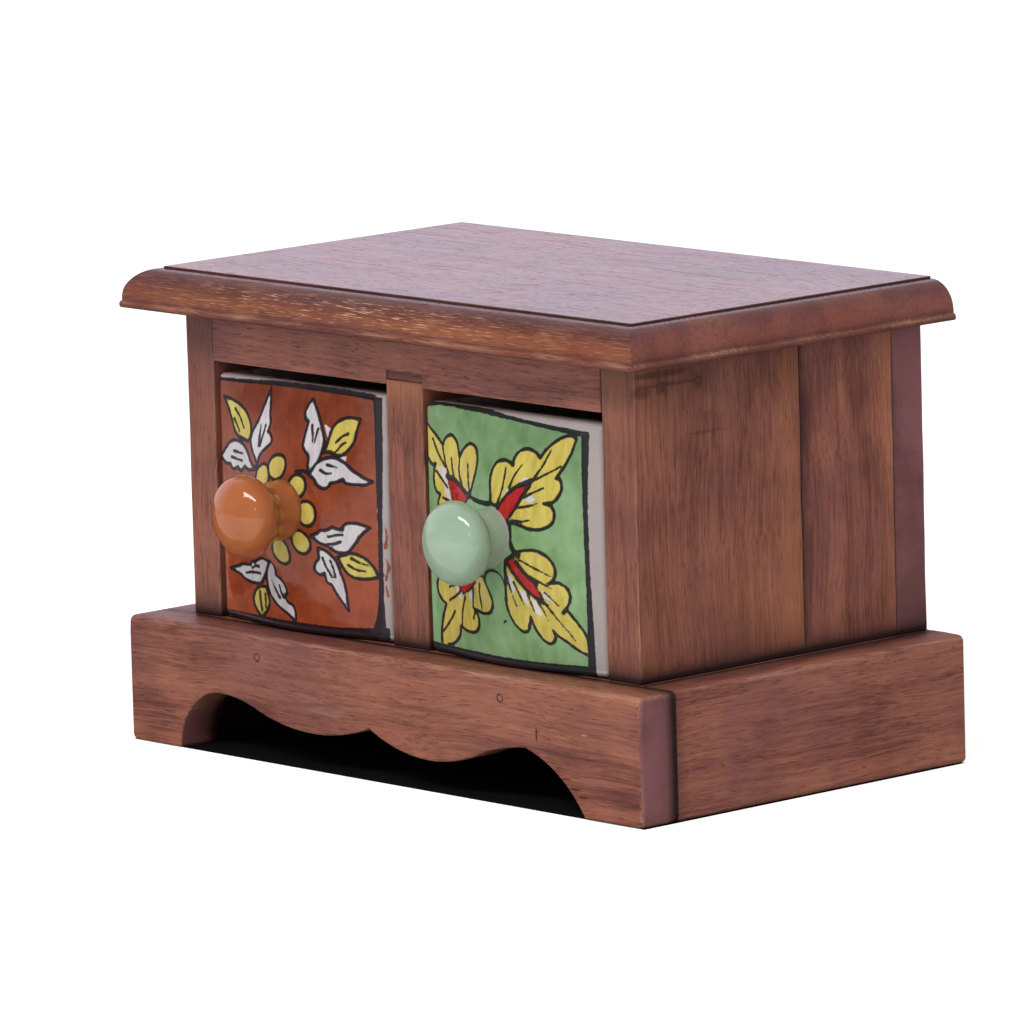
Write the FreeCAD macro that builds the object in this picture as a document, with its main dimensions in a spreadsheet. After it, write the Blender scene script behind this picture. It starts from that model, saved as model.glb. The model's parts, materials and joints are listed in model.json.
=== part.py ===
import FreeCAD, Part
import math
import os

import Sketcher
from FreeCAD import Placement, Rotation, Vector

# Small tabletop chest: a hardwood case on a scalloped plinth, with two glazed ceramic drawers
# Millimetres. +X is the viewer's right, the drawers face -Y, +Z is up. The origin lies on the
# surface that the chest stands on, under the middle of its whole length and depth, knobs included.

SIZES = {
    # Case: upright side boards, back board behind them, floor under them
    "case_width": 176.0,
    "case_depth": 105.5,
    "case_height": 84.5,
    "left_side_thick": 10.8,
    "right_side_thick": 12.4,
    "side_front_width": 60.0,
    "back_thick": 11.5,
    "floor_thick": 12.0,
    # Front rail above the drawers and the upright partition between them
    "rail_height": 14.2,
    "rail_depth": 30.0,
    "housing_height": 3.8,
    "housing_gap": 2.4,
    "partition_thick": 14.2,
    "partition_shift": -0.4,
    # Top board, moulded on its front and its two ends; the heights add up to its thickness
    "top_overhang": 13.0,
    "bead_height": 1.8,
    "bead_reach": 0.8,
    "riser_height": 0.6,
    "ovolo_radius": 8.0,
    "land_width": 0.4,
    "field_step": 0.6,
    # Plinth: its thickness is also the width of the ledge round the case
    "plinth_height": 34.5,
    "plinth_thick": 13.0,
    "plinth_rear_reach": 1.2,
    "ledge_round": 1.8,
    "corner_round": 1.5,
    # Scalloped lower edge of the front plinth board, from its ends and from its middle
    "foot_left": 20.5,
    "foot_right": 21.7,
    "bay_run": 16.0,
    "bay_height": 16.8,
    "bay_radius": 16.9,
    "wave_run": 16.5,
    "wave_height": 13.6,
    "wave_radius": 44.0,
    "left_lobe_radius": 66.0,
    "cusp_offset": 4.0,
    "cusp_height": 14.1,
    "right_lobe_radius": 50.4,
    "crest_run": 16.9,
    "crest_start": 12.8,
    "crest_reach": 56.9,
    "crest_height": 16.2,
    "crest_radius": 60.0,
    "right_bay_radius": 38.0,
    # Ceramic drawers and the room they run in
    "drawer_side_gap": 0.55,
    "drawer_top_gap": 3.3,
    "drawer_floor_gap": 0.3,
    "drawer_back_gap": 0.5,
    "drawer_wall": 4.5,
    "drawer_bottom": 5.0,
    "drawer_face": 7.0,
    "drawer_round": 1.6,
    "hollow_round": 3.0,
    "left_recess": 1.0,
    "right_recess": 0.4,
    "crown_height": 8.5,
    "crown_ease": 0.7,
    "crown_foot": 0.5,
    # Ceramic knobs, set on the crown of each drawer front
    "knob_seat": 3.0,
    "left_knob_shift": -0.5,
    "left_knob_lift": 0.15,
    "left_knob_length": 19.4,
    "left_head_radius": 11.0,
    "left_front_radius": 14.7,
    "left_rim_radius": 5.2,
    "left_neck_radius": 8.0,
    "left_hollow_radius": 8.0,
    "right_knob_shift": -1.9,
    "right_knob_lift": 1.25,
    "right_knob_length": 16.9,
    "right_head_radius": 11.2,
    "right_front_radius": 18.0,
    "right_rim_radius": 4.3,
    "right_neck_radius": 7.8,
    "right_hollow_radius": 2.5,
    # Wire nails, driven flush
    "nail_radius": 0.8,
    "nail_head_radius": 1.3,
    "nail_head_thick": 0.9,
    "nail_length": 26.0,
    "rail_nail_inset": 10.0,
    "rail_nail_pitch": 13.0,
    "rail_nail_drop": 7.5,
    "plinth_nail_reach": 48.0,
    "plinth_nail_drop": 6.0,
    "back_nail_inset": 12.0,
    "floor_nail_inset": 14.0,
}

document = FreeCAD.newDocument("drawer_chest")
sheet = document.addObject("Spreadsheet::Sheet", "Sizes")
for row, (alias, size) in enumerate(SIZES.items(), start=1):
    sheet.set(f"A{row}", alias)
    sheet.set(f"B{row}", str(size))
    sheet.setAlias(f"B{row}", alias)
document.recompute()


def cells(text):
    """An expression for other objects, with {name} standing for a cell of the sheet."""
    return text.replace("{", "Sizes.").replace("}", "")


def amount(text):
    """The present value of such an expression, in millimetres."""
    value = sheet.evalExpression(cells(text))
    return float(getattr(value, "Value", value))


# Places shared by several pieces
KNOB_REACH = ("({crown_height} + max({left_knob_length} - {left_recess};"
              " {right_knob_length} - {right_recess}))")
REAR = f"(({{case_depth}} + {{plinth_rear_reach}} + {KNOB_REACH}) / 2)"
BACK = f"({REAR} - {{plinth_rear_reach}})"
FRONT = f"({BACK} - {{case_depth}})"
CASE_RIGHT = "({case_width} / 2)"
CASE_TOP = "({plinth_height} + {case_height})"
INNER_LEFT = "({left_side_thick} - {case_width} / 2)"
INNER_RIGHT = "({case_width} / 2 - {right_side_thick})"
INNER_BACK = f"({BACK} - {{back_thick}})"
PARTITION_LEFT = "({partition_shift} - {partition_thick} / 2)"
PARTITION_RIGHT = "({partition_shift} + {partition_thick} / 2)"
PLINTH_RIGHT = "({case_width} / 2 + {plinth_thick})"
TOP_RIGHT = "({case_width} / 2 + {top_overhang})"
RAIL_BOTTOM = f"({CASE_TOP} - {{rail_height}})"
PARTITION_TOP = f"({RAIL_BOTTOM} + {{housing_height}} - {{housing_gap}})"
NARROWER_OPENING = f"min({PARTITION_LEFT} - {INNER_LEFT}; {INNER_RIGHT} - {PARTITION_RIGHT})"
DRAWER_WIDTH = f"({NARROWER_OPENING} - 2 * {{drawer_side_gap}})"
DRAWER_LOW = "({plinth_height} + {drawer_floor_gap})"
DRAWER_HEIGHT = f"({RAIL_BOTTOM} - {{drawer_top_gap}} - {DRAWER_LOW})"
DRAWER_LENGTH = "({case_depth} - {back_thick} - {left_recess} - {drawer_back_gap})"
DRAWER_MIDDLE = {
    "left": f"({INNER_LEFT} + {{drawer_side_gap}} + {DRAWER_WIDTH} / 2)",
    "right": f"({INNER_RIGHT} - {{drawer_side_gap}} - {DRAWER_WIDTH} / 2)",
}
DRAWER_MIDDLE_Z = f"({DRAWER_LOW} + {DRAWER_HEIGHT} / 2)"
# Middle of the thickness of each side board
SIDE_MIDDLE = {
    "left": f"({INNER_LEFT} - {{left_side_thick}} / 2)",
    "right": f"({INNER_RIGHT} + {{right_side_thick}} / 2)",
}


def bind(thing, prop, text):
    thing.setExpression(prop, cells(text))


def place(thing, x="0", y="0", z="0"):
    bind(thing, "Placement.Base.x", x)
    bind(thing, "Placement.Base.y", y)
    bind(thing, "Placement.Base.z", z)


def new_body(label):
    body = document.addObject("PartDesign::Body", f"{label}_body")
    body.Label = f"{label} body"
    return body


def new_sketch(body, plane_role, name):
    sketch = body.newObject("Sketcher::SketchObject", f"{body.Name}_{name}")
    plane = [item for item in body.Origin.OriginFeatures if item.Role == plane_role][0]
    sketch.AttachmentSupport = (plane, [""])
    sketch.MapMode = "FlatFace"
    return sketch


def dimension(sketch, kind, references, text):
    index = sketch.addConstraint(Sketcher.Constraint(kind, *references, amount(text)))
    bind(sketch, f"Constraints[{index}]", text)


def bowed_edge(start, end, radius, turns_left):
    """The short arc between two points; it turns left or right on its way."""
    chord = end - start
    rise = math.sqrt(radius ** 2 - (chord.Length / 2) ** 2)
    aside = Vector(-chord.y, chord.x, 0).normalize() * (rise if turns_left else -rise)
    centre = (start + end) / 2 + aside
    outward = ((start + end) / 2 - centre).normalize()
    return Part.Arc(start, centre + outward * radius, end)


def draw_outline(sketch, corners):
    """
    A closed outline. Each corner is (x, y) where a line leads to it from the corner before,
    or (x, y, radius, turns_left) where an arc does. Every corner is held by its two distances
    from the sketch's origin, and every arc by its radius.
    """
    points = [Vector(amount(corner[0]), amount(corner[1]), 0) for corner in corners]
    ends = []
    for index, corner in enumerate(corners):
        start, end = points[index - 1], points[index]
        if len(corner) == 2:
            edge = sketch.addGeometry(Part.LineSegment(start, end), False)
            ends.append((edge, 1, 2))
        else:
            arc = bowed_edge(start, end, amount(corner[2]), corner[3])
            edge = sketch.addGeometry(arc, False)
            ends.append((edge, 1, 2) if corner[3] else (edge, 2, 1))
            dimension(sketch, "Radius", (edge,), corner[2])
    for index, corner in enumerate(corners):
        edge, _, finish = ends[index]
        following, begin, _ = ends[(index + 1) % len(corners)]
        sketch.addConstraint(Sketcher.Constraint("Coincident", edge, finish, following, begin))
        dimension(sketch, "DistanceX", (-1, 1, edge, finish), corner[0])
        dimension(sketch, "DistanceY", (-1, 1, edge, finish), corner[1])


def pad(body, sketch, length, reverse=False):
    feature = body.newObject("PartDesign::Pad", f"{body.Name}_pad")
    feature.Profile = sketch
    feature.Reversed = reverse
    bind(feature, "Length", length)
    sketch.Visibility = False
    return feature


def round_edges(body, feature, name, radius, wanted):
    """Rounds the edges of the body that the test picks by their middle and direction."""
    document.recompute()
    picked = []
    for number, edge in enumerate(feature.Shape.Edges, start=1):
        middle = edge.valueAt((edge.FirstParameter + edge.LastParameter) / 2)
        along = edge.tangentAt(edge.FirstParameter)
        if wanted(middle, along):
            picked.append(f"Edge{number}")
    fillet = body.newObject("PartDesign::Fillet", f"{body.Name}_{name}")
    fillet.Base = (feature, picked)
    bind(fillet, "Radius", radius)
    return fillet


def plain_board(label, width, depth, height):
    """A sawn board, from its own lowest left front corner."""
    body = new_body(label)
    sketch = new_sketch(body, "XY_Plane", "outline")
    draw_outline(sketch, [("0", "0"), (width, "0"), (width, depth), ("0", depth)])
    pad(body, sketch, height)
    return body


nail_groups = []


def nail(group, number, x, y, z, point):
    """One wire nail: its head lies at (x, y, z) and it is driven along the point vector."""
    turn = Rotation(Vector(0, 0, 1), point)
    shank = document.addObject("Part::Cylinder", f"{group}_{number}_shank")
    bind(shank, "Radius", "{nail_radius}")
    bind(shank, "Height", "{nail_length}")
    head = document.addObject("Part::Cylinder", f"{group}_{number}_head")
    bind(head, "Radius", "{nail_head_radius}")
    bind(head, "Height", "{nail_head_thick}")
    for piece in (shank, head):
        piece.Placement = Placement(Vector(), turn)
        place(piece, x, y, z)
    whole = document.addObject("Part::Fuse", f"{group}_{number}")
    whole.Base = shank
    whole.Tool = head
    whole.Refine = True
    return whole


def nail_group(label, nails):
    group = document.addObject("Part::Compound", f"{label}_group")
    group.Label = label
    group.Links = nails
    nail_groups.append(group)
    return group


# Fasteners
def rail_nails():
    """Two through each side board into the ends of the front rail."""
    nails = []
    height = f"{CASE_TOP} - {{rail_nail_drop}}"
    for side in (-1, 1):
        for step in (0, 1):
            y = f"{FRONT} + {{rail_nail_inset}} + {step} * {{rail_nail_pitch}}"
            point = Vector(-side, 0, 0)
            nails.append(nail("rail_nail", len(nails), f"{side} * {CASE_RIGHT}", y, height, point))
    return nail_group("rail_nails", nails)


def back_nails():
    """Through the back board into the rear edges of both sides and of the partition."""
    nails = []
    low = "{plinth_height} + {back_nail_inset}"
    middle = "{plinth_height} + {case_height} / 2"
    high = f"{CASE_TOP} - {{back_nail_inset}}"
    for x in SIDE_MIDDLE.values():
        for z in (low, middle, high):
            nails.append(nail("back_nail", len(nails), x, BACK, z, Vector(0, -1, 0)))
    for z in (low, middle):
        nails.append(nail("back_nail", len(nails), "{partition_shift}", BACK, z, Vector(0, -1, 0)))
    return nail_group("back_nails", nails)


def plinth_nails():
    """Through the front and rear plinth boards into the edges of the floor board."""
    nails = []
    height = "{plinth_height} - {plinth_nail_drop}"
    for side in (-1, 1):
        x = f"{side} * {{plinth_nail_reach}}"
        front = f"{FRONT} - {{plinth_thick}}"
        nails.append(nail("plinth_nail", len(nails), x, front, height, Vector(0, 1, 0)))
        nails.append(nail("plinth_nail", len(nails), x, REAR, height, Vector(0, -1, 0)))
    return nail_group("plinth_nails", nails)


def floor_nails():
    """Up through the floor board into the sides and the partition."""
    nails = []
    low = "{plinth_height} - {floor_thick}"
    places = [(x, y) for x in SIDE_MIDDLE.values() for y in (
        f"{FRONT} + {{floor_nail_inset}}",
        f"{FRONT} + {{side_front_width}} - {{floor_nail_inset}}",
        f"{FRONT} + {{side_front_width}} + {{floor_nail_inset}}")]
    places += [("{partition_shift}", f"{FRONT} + {{floor_nail_inset}}"),
               ("{partition_shift}", f"{FRONT} + {{side_front_width}}")]
    for x, y in places:
        nails.append(nail("floor_nail", len(nails), x, y, low, Vector(0, 0, 1)))
    return nail_group("floor_nails", nails)


pieces = [rail_nails(), back_nails(), plinth_nails(), floor_nails()]

every_nail = document.addObject("Part::Compound", "every_nail")
every_nail.Links = nail_groups


def nailed(label, body):
    """The finished wooden piece: its body less the holes that the nails fill."""
    piece = document.addObject("Part::Cut", f"{label}_piece")
    piece.Label = label
    piece.Base = body
    piece.Tool = every_nail
    pieces.append(piece)
    return piece


# Case
def side_boards(side, left):
    """Two upright boards, glued edge to edge, on one side of the case."""
    thick = f"{{{side}_side_thick}}"
    front_board = plain_board(f"{side}_side_front_board", thick, "{side_front_width}",
                              "{case_height}")
    place(front_board, left, FRONT, "{plinth_height}")
    nailed(f"{side}_side_front_board", front_board)
    rear_width = "{case_depth} - {back_thick} - {side_front_width}"
    rear_board = plain_board(f"{side}_side_rear_board", thick, rear_width, "{case_height}")
    place(rear_board, left, f"{FRONT} + {{side_front_width}}", "{plinth_height}")
    nailed(f"{side}_side_rear_board", rear_board)


def back_board():
    """One board across the back; it covers the rear edges of the sides."""
    board = plain_board("back_board", "{case_width}", "{back_thick}", "{case_height}")
    place(board, f"-1 * {CASE_RIGHT}", INNER_BACK, "{plinth_height}")
    nailed("back_board", board)


def floor_board():
    """The drawers run on it; its top is level with the ledge of the plinth."""
    depth = "{case_depth} + {plinth_rear_reach} - {plinth_thick}"
    board = plain_board("floor_board", "{case_width}", depth, "{floor_thick}")
    place(board, f"-1 * {CASE_RIGHT}", FRONT, "{plinth_height} - {floor_thick}")
    nailed("floor_board", board)


def top_rail():
    """Between the sides, over the drawers, with a housing for the partition's end."""
    body = new_body("top_rail")
    sketch = new_sketch(body, "XZ_Plane", "outline")
    draw_outline(sketch, [
        (INNER_LEFT, "{rail_height}"),
        (INNER_LEFT, "0"),
        (PARTITION_LEFT, "0"),
        (PARTITION_LEFT, "{housing_height}"),
        (PARTITION_RIGHT, "{housing_height}"),
        (PARTITION_RIGHT, "0"),
        (INNER_RIGHT, "0"),
        (INNER_RIGHT, "{rail_height}"),
    ])
    pad(body, sketch, "{rail_depth}", reverse=True)
    place(body, "0", FRONT, RAIL_BOTTOM)
    nailed("top_rail", body)


def centre_partition():
    """Upright board between the drawers, from the front to the back board."""
    depth = "{case_depth} - {back_thick}"
    height = f"{PARTITION_TOP} - {{plinth_height}}"
    board = plain_board("centre_partition", "{partition_thick}", depth, height)
    place(board, PARTITION_LEFT, FRONT, "{plinth_height}")
    nailed("centre_partition", board)


# Edge moulding of the top board: inset from the outermost line, and height. The ovolo runs
# from the fourth corner to the fifth.
FIELD_INSET = "({bead_reach} + {ovolo_radius} + {land_width})"
RISER_TOP = "({bead_height} + {riser_height})"
SHELF = f"({RISER_TOP} + {{ovolo_radius}})"
TOP_THICK = f"({SHELF} + {{field_step}})"
MOULDING = [
    ("0", "0"),
    ("0", "{bead_height}"),
    ("{bead_reach}", "{bead_height}"),
    ("{bead_reach}", RISER_TOP),
    ("({bead_reach} + {ovolo_radius})", SHELF),
    (FIELD_INSET, SHELF),
    (FIELD_INSET, TOP_THICK),
]


def moulding(x_of, upward, turns_left):
    """Corners of the moulding; x_of turns an inset into the sketch's first coordinate."""
    stations = MOULDING if upward else MOULDING[::-1]
    corners = [(x_of(inset), height) for inset, height in stations]
    arc_end = 4 if upward else 3
    corners[arc_end] += ("{ovolo_radius}", turns_left)
    return corners


def top_board():
    """Raised field, ovolo and small bead; the rear edge is left square."""
    body = new_body("top_board")
    profile = new_sketch(body, "XZ_Plane", "end_mouldings")
    right = moulding(lambda inset: f"({TOP_RIGHT} - {inset})", True, True)
    left = moulding(lambda inset: f"-1 * ({TOP_RIGHT} - {inset})", False, True)
    draw_outline(profile, right + left)
    slab = pad(body, profile, "{case_depth} + {top_overhang}", reverse=True)
    cutter = new_sketch(body, "YZ_Plane", "front_moulding")
    front = moulding(lambda inset: inset, True, False)[1:-1]
    outside, above = f"-1 * {TOP_THICK}", f"2 * {TOP_THICK}"
    draw_outline(cutter, [(outside, above), (outside, outside), ("0", outside), *front,
                          (FIELD_INSET, above)])
    pocket = body.newObject("PartDesign::Pocket", "top_board_front_cut")
    pocket.Profile = cutter
    pocket.Type = "ThroughAll"
    pocket.Midplane = True
    cutter.Visibility = False
    document.recompute()
    if same(pocket.Shape.Volume, slab.Shape.Volume):
        raise RuntimeError("the front moulding removed nothing")
    place(body, "0", f"{FRONT} - {{top_overhang}}", CASE_TOP)
    nailed("top_board", body)


# Plinth
def same(one, other):
    """Whether two measured places are one, with room for rounding."""
    return abs(one - other) < 0.01


def upright(along):
    return same(abs(along.z), 1)


def lengthwise(along):
    return same(abs(along.y), 1)


def plinth_front():
    """Full width; its ends show at the sides. The lower edge is sawn to a hanging wave."""
    body = new_body("plinth_front")
    sketch = new_sketch(body, "XZ_Plane", "outline")
    foot = f"-1 * {PLINTH_RIGHT} + {{foot_left}}"
    bay = f"{foot} + {{bay_run}}"
    draw_outline(sketch, [
        (f"-1 * {PLINTH_RIGHT}", "{plinth_height}"),
        (f"-1 * {PLINTH_RIGHT}", "0"),
        (foot, "0"),
        (bay, "{bay_height}", "{bay_radius}", False),
        (f"{bay} + {{wave_run}}", "{wave_height}", "{wave_radius}", False),
        ("-1 * {cusp_offset}", "{cusp_height}", "{left_lobe_radius}", True),
        ("{crest_reach} - {crest_run}", "{crest_start}", "{right_lobe_radius}", True),
        ("{crest_reach}", "{crest_height}", "{crest_radius}", False),
        (f"{PLINTH_RIGHT} - {{foot_right}}", "0", "{right_bay_radius}", False),
        (PLINTH_RIGHT, "0"),
        (PLINTH_RIGHT, "{plinth_height}"),
    ])
    board = pad(body, sketch, "{plinth_thick}", reverse=True)
    end, top, rear = (amount(size) for size in (PLINTH_RIGHT, "{plinth_height}", "{plinth_thick}"))
    corners = round_edges(body, board, "corners", "{corner_round}", lambda middle, along: (
        upright(along) and same(middle.y, 0) and same(abs(middle.x), end)))
    round_edges(body, corners, "ledge", "{ledge_round}", lambda middle, along: (
        same(middle.z, top) and not same(middle.y, rear)))
    place(body, "0", f"{FRONT} - {{plinth_thick}}")
    nailed("plinth_front", body)


def plinth_sides():
    """From the front board's rear face to just behind the case."""
    depth = "({case_depth} + {plinth_rear_reach})"
    top, length = amount("{plinth_height}"), amount(depth)
    for side, left, outer in (("left", f"-1 * {PLINTH_RIGHT}", "0"),
                              ("right", CASE_RIGHT, "{plinth_thick}")):
        body = plain_board(f"plinth_{side}", "{plinth_thick}", depth, "{plinth_height}")
        face = amount(outer)
        corner = round_edges(body, body.Tip, "corner", "{corner_round}", lambda middle, along: (
            upright(along) and same(middle.y, length) and same(middle.x, face)))
        round_edges(body, corner, "ledge", "{ledge_round}", lambda middle, along: (
            lengthwise(along) and same(middle.z, top) and same(middle.x, face)))
        place(body, left, FRONT)
        nailed(f"plinth_{side}", body)


def plinth_back():
    board = plain_board("plinth_back", "{case_width}", "{plinth_thick}", "{plinth_height}")
    place(board, f"-1 * {CASE_RIGHT}", f"{REAR} - {{plinth_thick}}")
    nailed("plinth_back", board)


# Ceramic drawers and knobs
def crowned_block(width, depth, height, crown):
    """
    A block whose front swells from its two sides and its upper edge. Over each half width u from
    -1 to 1 the swelling is (1 - u^2)(1 - ease u^2), which a Bezier patch of degree four holds
    exactly. Upwards it starts with the share "crown_foot" at the lower edge, which is bowed
    too, and has its whole height at the middle. The block's own origin is the middle of its
    lower front edge, on the line between the two lower corners.
    """
    ease, foot = amount("{crown_ease}"), amount("{crown_foot}")
    swell = (0.0, 1.0 - ease, 4.0 * (1.0 + ease) / 3.0, 1.0 - ease, 0.0)
    low, high = 2.0 * foot, 1.5 * (1.0 - ease)
    rise = (foot, low, (16.0 - foot - 4.0 * low - 4.0 * high) / 6.0, high, 0.0)
    last = len(swell) - 1
    patch = Part.BezierSurface()
    patch.increase(last, last)
    for across, wide in enumerate(swell):
        for up, tall in enumerate(rise):
            pole = Vector((across / last - 0.5) * width, -crown * wide * tall, up / last * height)
            patch.setPole(across + 1, up + 1, pole)
    right = width / 2
    front = [Vector(-right, 0, 0), Vector(right, 0, 0), Vector(right, 0, height),
             Vector(-right, 0, height)]
    back = [point + Vector(0, depth, 0) for point in front]
    faces = [patch.toShape(), Part.Face(Part.makePolygon(back + back[:1]))]
    bow = Part.BezierCurve()
    bow.setPoles([patch.getPole(across + 1, 1) for across in range(last + 1)])
    under = Part.Wire([bow.toShape(), *Part.makePolygon([front[1], back[1], back[0], front[0]]).Edges])
    faces.append(Part.Face(under))
    for index, corner in enumerate(front):
        if index == 1:
            continue
        behind = back[index]
        side = [front[index - 1], corner, behind, back[index - 1], front[index - 1]]
        faces.append(Part.Face(Part.makePolygon(side)))
    shell = Part.Shell(faces)
    shell.sewShape()
    solid = Part.Solid(shell)
    return solid if solid.Volume > 0 else solid.reversed()


def round_shape(shape, radius, wanted):
    """Rounds the edges that the test picks by their two ends."""
    edges = [edge for edge in shape.Edges
             if wanted(edge.Vertexes[0].Point, edge.Vertexes[-1].Point)]
    return shape.makeFillet(radius, edges)


def drawer_block():
    """The drawer without its hollow, from the middle of its lower front edge."""
    length = amount(DRAWER_LENGTH)
    block = crowned_block(amount(DRAWER_WIDTH), length, amount(DRAWER_HEIGHT),
                          amount("{crown_height}"))
    radius = amount("{drawer_round}")
    block = round_shape(block, radius, lambda start, end: abs(start.y - end.y) > length / 2)
    return round_shape(block, radius, lambda start, end: same(start.y, 0) and same(end.y, 0))


def drawer_hollow():
    """The space inside; it stands out above the drawer, whose top is open."""
    inside = amount(f"{DRAWER_WIDTH} - 2 * {{drawer_wall}}")
    depth = amount(f"{DRAWER_LENGTH} - {{drawer_face}} - {{drawer_wall}}")
    height = amount(DRAWER_HEIGHT)
    hollow = crowned_block(inside, depth, height, amount("{crown_height}"))
    radius = amount("{hollow_round}")
    hollow = round_shape(hollow, radius, lambda start, end: abs(start.z - end.z) > height / 2)
    return round_shape(hollow, radius, lambda start, end: same(start.z, 0) and same(end.z, 0))


def shaped(name, shape, x, y, z):
    thing = document.addObject("Part::Feature", name)
    thing.Shape = shape
    place(thing, x, y, z)
    return thing


def drawer(side):
    middle = DRAWER_MIDDLE[side]
    front = f"{FRONT} + {{{side}_recess}}"
    block = shaped(f"{side}_drawer_block", drawer_block(), middle, front, DRAWER_LOW)
    hollow = shaped(f"{side}_drawer_hollow", drawer_hollow(), middle, f"{front} + {{drawer_face}}",
                    f"{DRAWER_LOW} + {{drawer_bottom}}")
    piece = document.addObject("Part::Cut", f"{side}_drawer_piece")
    piece.Label = f"{side}_drawer"
    piece.Base = block
    piece.Tool = hollow
    pieces.append(piece)
    return block


def knob_profile(sketch, side):
    """
    Half of the knob, in the plane of its axis: a flat arc over the front, a tighter rim arc, a
    hollow arc into the neck, and the neck down to below the crown that it sits on.
    """
    length, head, front_radius, rim_radius, neck, hollow_radius = (
        amount(f"{{{side}_{size}}}") for size in (
            "knob_length", "head_radius", "front_radius", "rim_radius", "neck_radius",
            "hollow_radius"))
    seat = -amount("{knob_seat}")
    front_centre = Vector(0, length - front_radius, 0)
    rim_x = head - rim_radius
    rim_centre = Vector(rim_x, front_centre.y + math.sqrt((front_radius - rim_radius) ** 2
                                                          - rim_x ** 2), 0)
    hollow_x = neck + hollow_radius
    hollow_centre = Vector(hollow_x, rim_centre.y - math.sqrt((rim_radius + hollow_radius) ** 2
                                                              - (hollow_x - rim_x) ** 2), 0)
    tip = Vector(0, length, 0)
    shoulder = front_centre + (rim_centre - front_centre).normalize() * front_radius
    waist = rim_centre + (hollow_centre - rim_centre).normalize() * rim_radius
    throat = Vector(neck, hollow_centre.y, 0)
    arcs = []
    for centre, radius, start, end in ((front_centre, front_radius, shoulder, tip),
                                       (rim_centre, rim_radius, waist, shoulder),
                                       (hollow_centre, hollow_radius, waist, throat)):
        circle = Part.Circle(centre, Vector(0, 0, 1), radius)
        span = Part.ArcOfCircle(circle, circle.parameter(start), circle.parameter(end))
        arcs.append(sketch.addGeometry(span, False))
    front, rim, hollow = arcs
    side_line = sketch.addGeometry(Part.LineSegment(throat, Vector(neck, seat, 0)), False)
    base_line = sketch.addGeometry(Part.LineSegment(Vector(neck, seat, 0), Vector(0, seat, 0)), False)
    axis_line = sketch.addGeometry(Part.LineSegment(Vector(0, seat, 0), tip), False)
    for constraint in (
            ("Tangent", front, 1, rim, 2), ("Tangent", rim, 1, hollow, 1),
            ("Tangent", hollow, 2, side_line, 1), ("Coincident", side_line, 2, base_line, 1),
            ("Coincident", base_line, 2, axis_line, 1), ("Coincident", axis_line, 2, front, 2),
            ("Vertical", side_line), ("Horizontal", base_line),
            ("PointOnObject", axis_line, 1, -2), ("PointOnObject", axis_line, 2, -2),
            ("PointOnObject", front, 3, -2)):
        sketch.addConstraint(Sketcher.Constraint(*constraint))
    dimension(sketch, "Radius", (front,), f"{{{side}_front_radius}}")
    dimension(sketch, "Radius", (rim,), f"{{{side}_rim_radius}}")
    dimension(sketch, "Radius", (hollow,), f"{{{side}_hollow_radius}}")
    dimension(sketch, "DistanceX", (-1, 1, rim, 3), f"{{{side}_head_radius}} - {{{side}_rim_radius}}")
    dimension(sketch, "DistanceX", (-1, 1, side_line, 2), f"{{{side}_neck_radius}}")
    dimension(sketch, "DistanceY", (-1, 1, side_line, 2), "-1 * {knob_seat}")
    dimension(sketch, "DistanceY", (-1, 1, axis_line, 2), f"{{{side}_knob_length}}")


def knob(side, drawer_front):
    """A turned knob, stuck to the crown; its foot is cut to the drawer's own curve."""
    body = new_body(f"{side}_knob")
    sketch = new_sketch(body, "XY_Plane", "profile")
    knob_profile(sketch, side)
    turned = body.newObject("PartDesign::Revolution", f"{side}_knob_turned")
    turned.Profile = sketch
    turned.ReferenceAxis = (sketch, ["V_Axis"])
    turned.Angle = 360
    sketch.Visibility = False
    body.Placement = Placement(Vector(), Rotation(Vector(0, 0, 1), 180))
    crown = f"{FRONT} + {{{side}_recess}} - {{crown_height}}"
    place(body, f"{DRAWER_MIDDLE[side]} + {{{side}_knob_shift}}", crown,
          f"{DRAWER_MIDDLE_Z} + {{{side}_knob_lift}}")
    piece = document.addObject("Part::Cut", f"{side}_knob_piece")
    piece.Label = f"{side}_knob"
    piece.Base = body
    piece.Tool = drawer_front
    pieces.append(piece)


side_boards("left", f"-1 * {CASE_RIGHT}")
side_boards("right", INNER_RIGHT)
back_board()
floor_board()
top_rail()
centre_partition()
top_board()
plinth_front()
plinth_sides()
plinth_back()
for side in ("left", "right"):
    knob(side, drawer(side))
document.recompute()

for thing in document.Objects:
    if "Invalid" in thing.State or "Error" in thing.State:
        raise RuntimeError(f"{thing.Name} failed: {thing.State}")
for piece in pieces:
    shape = piece.Shape
    if shape.isNull() or not shape.isValid() or not shape.Solids:
        raise RuntimeError(f"{piece.Label} has no valid solid")

os.makedirs("parts", exist_ok=True)
for piece in pieces:
    piece.Shape.exportStep(f"parts/{piece.Label}.step")
    print(f"{piece.Label}: {len(piece.Shape.Solids)} solid(s), {piece.Shape.Volume / 1000:.2f} cm3")
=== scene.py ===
import itertools
import json
import math

import bmesh
import bpy
import numpy as np
from mathutils import Matrix, Vector, noise

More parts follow.
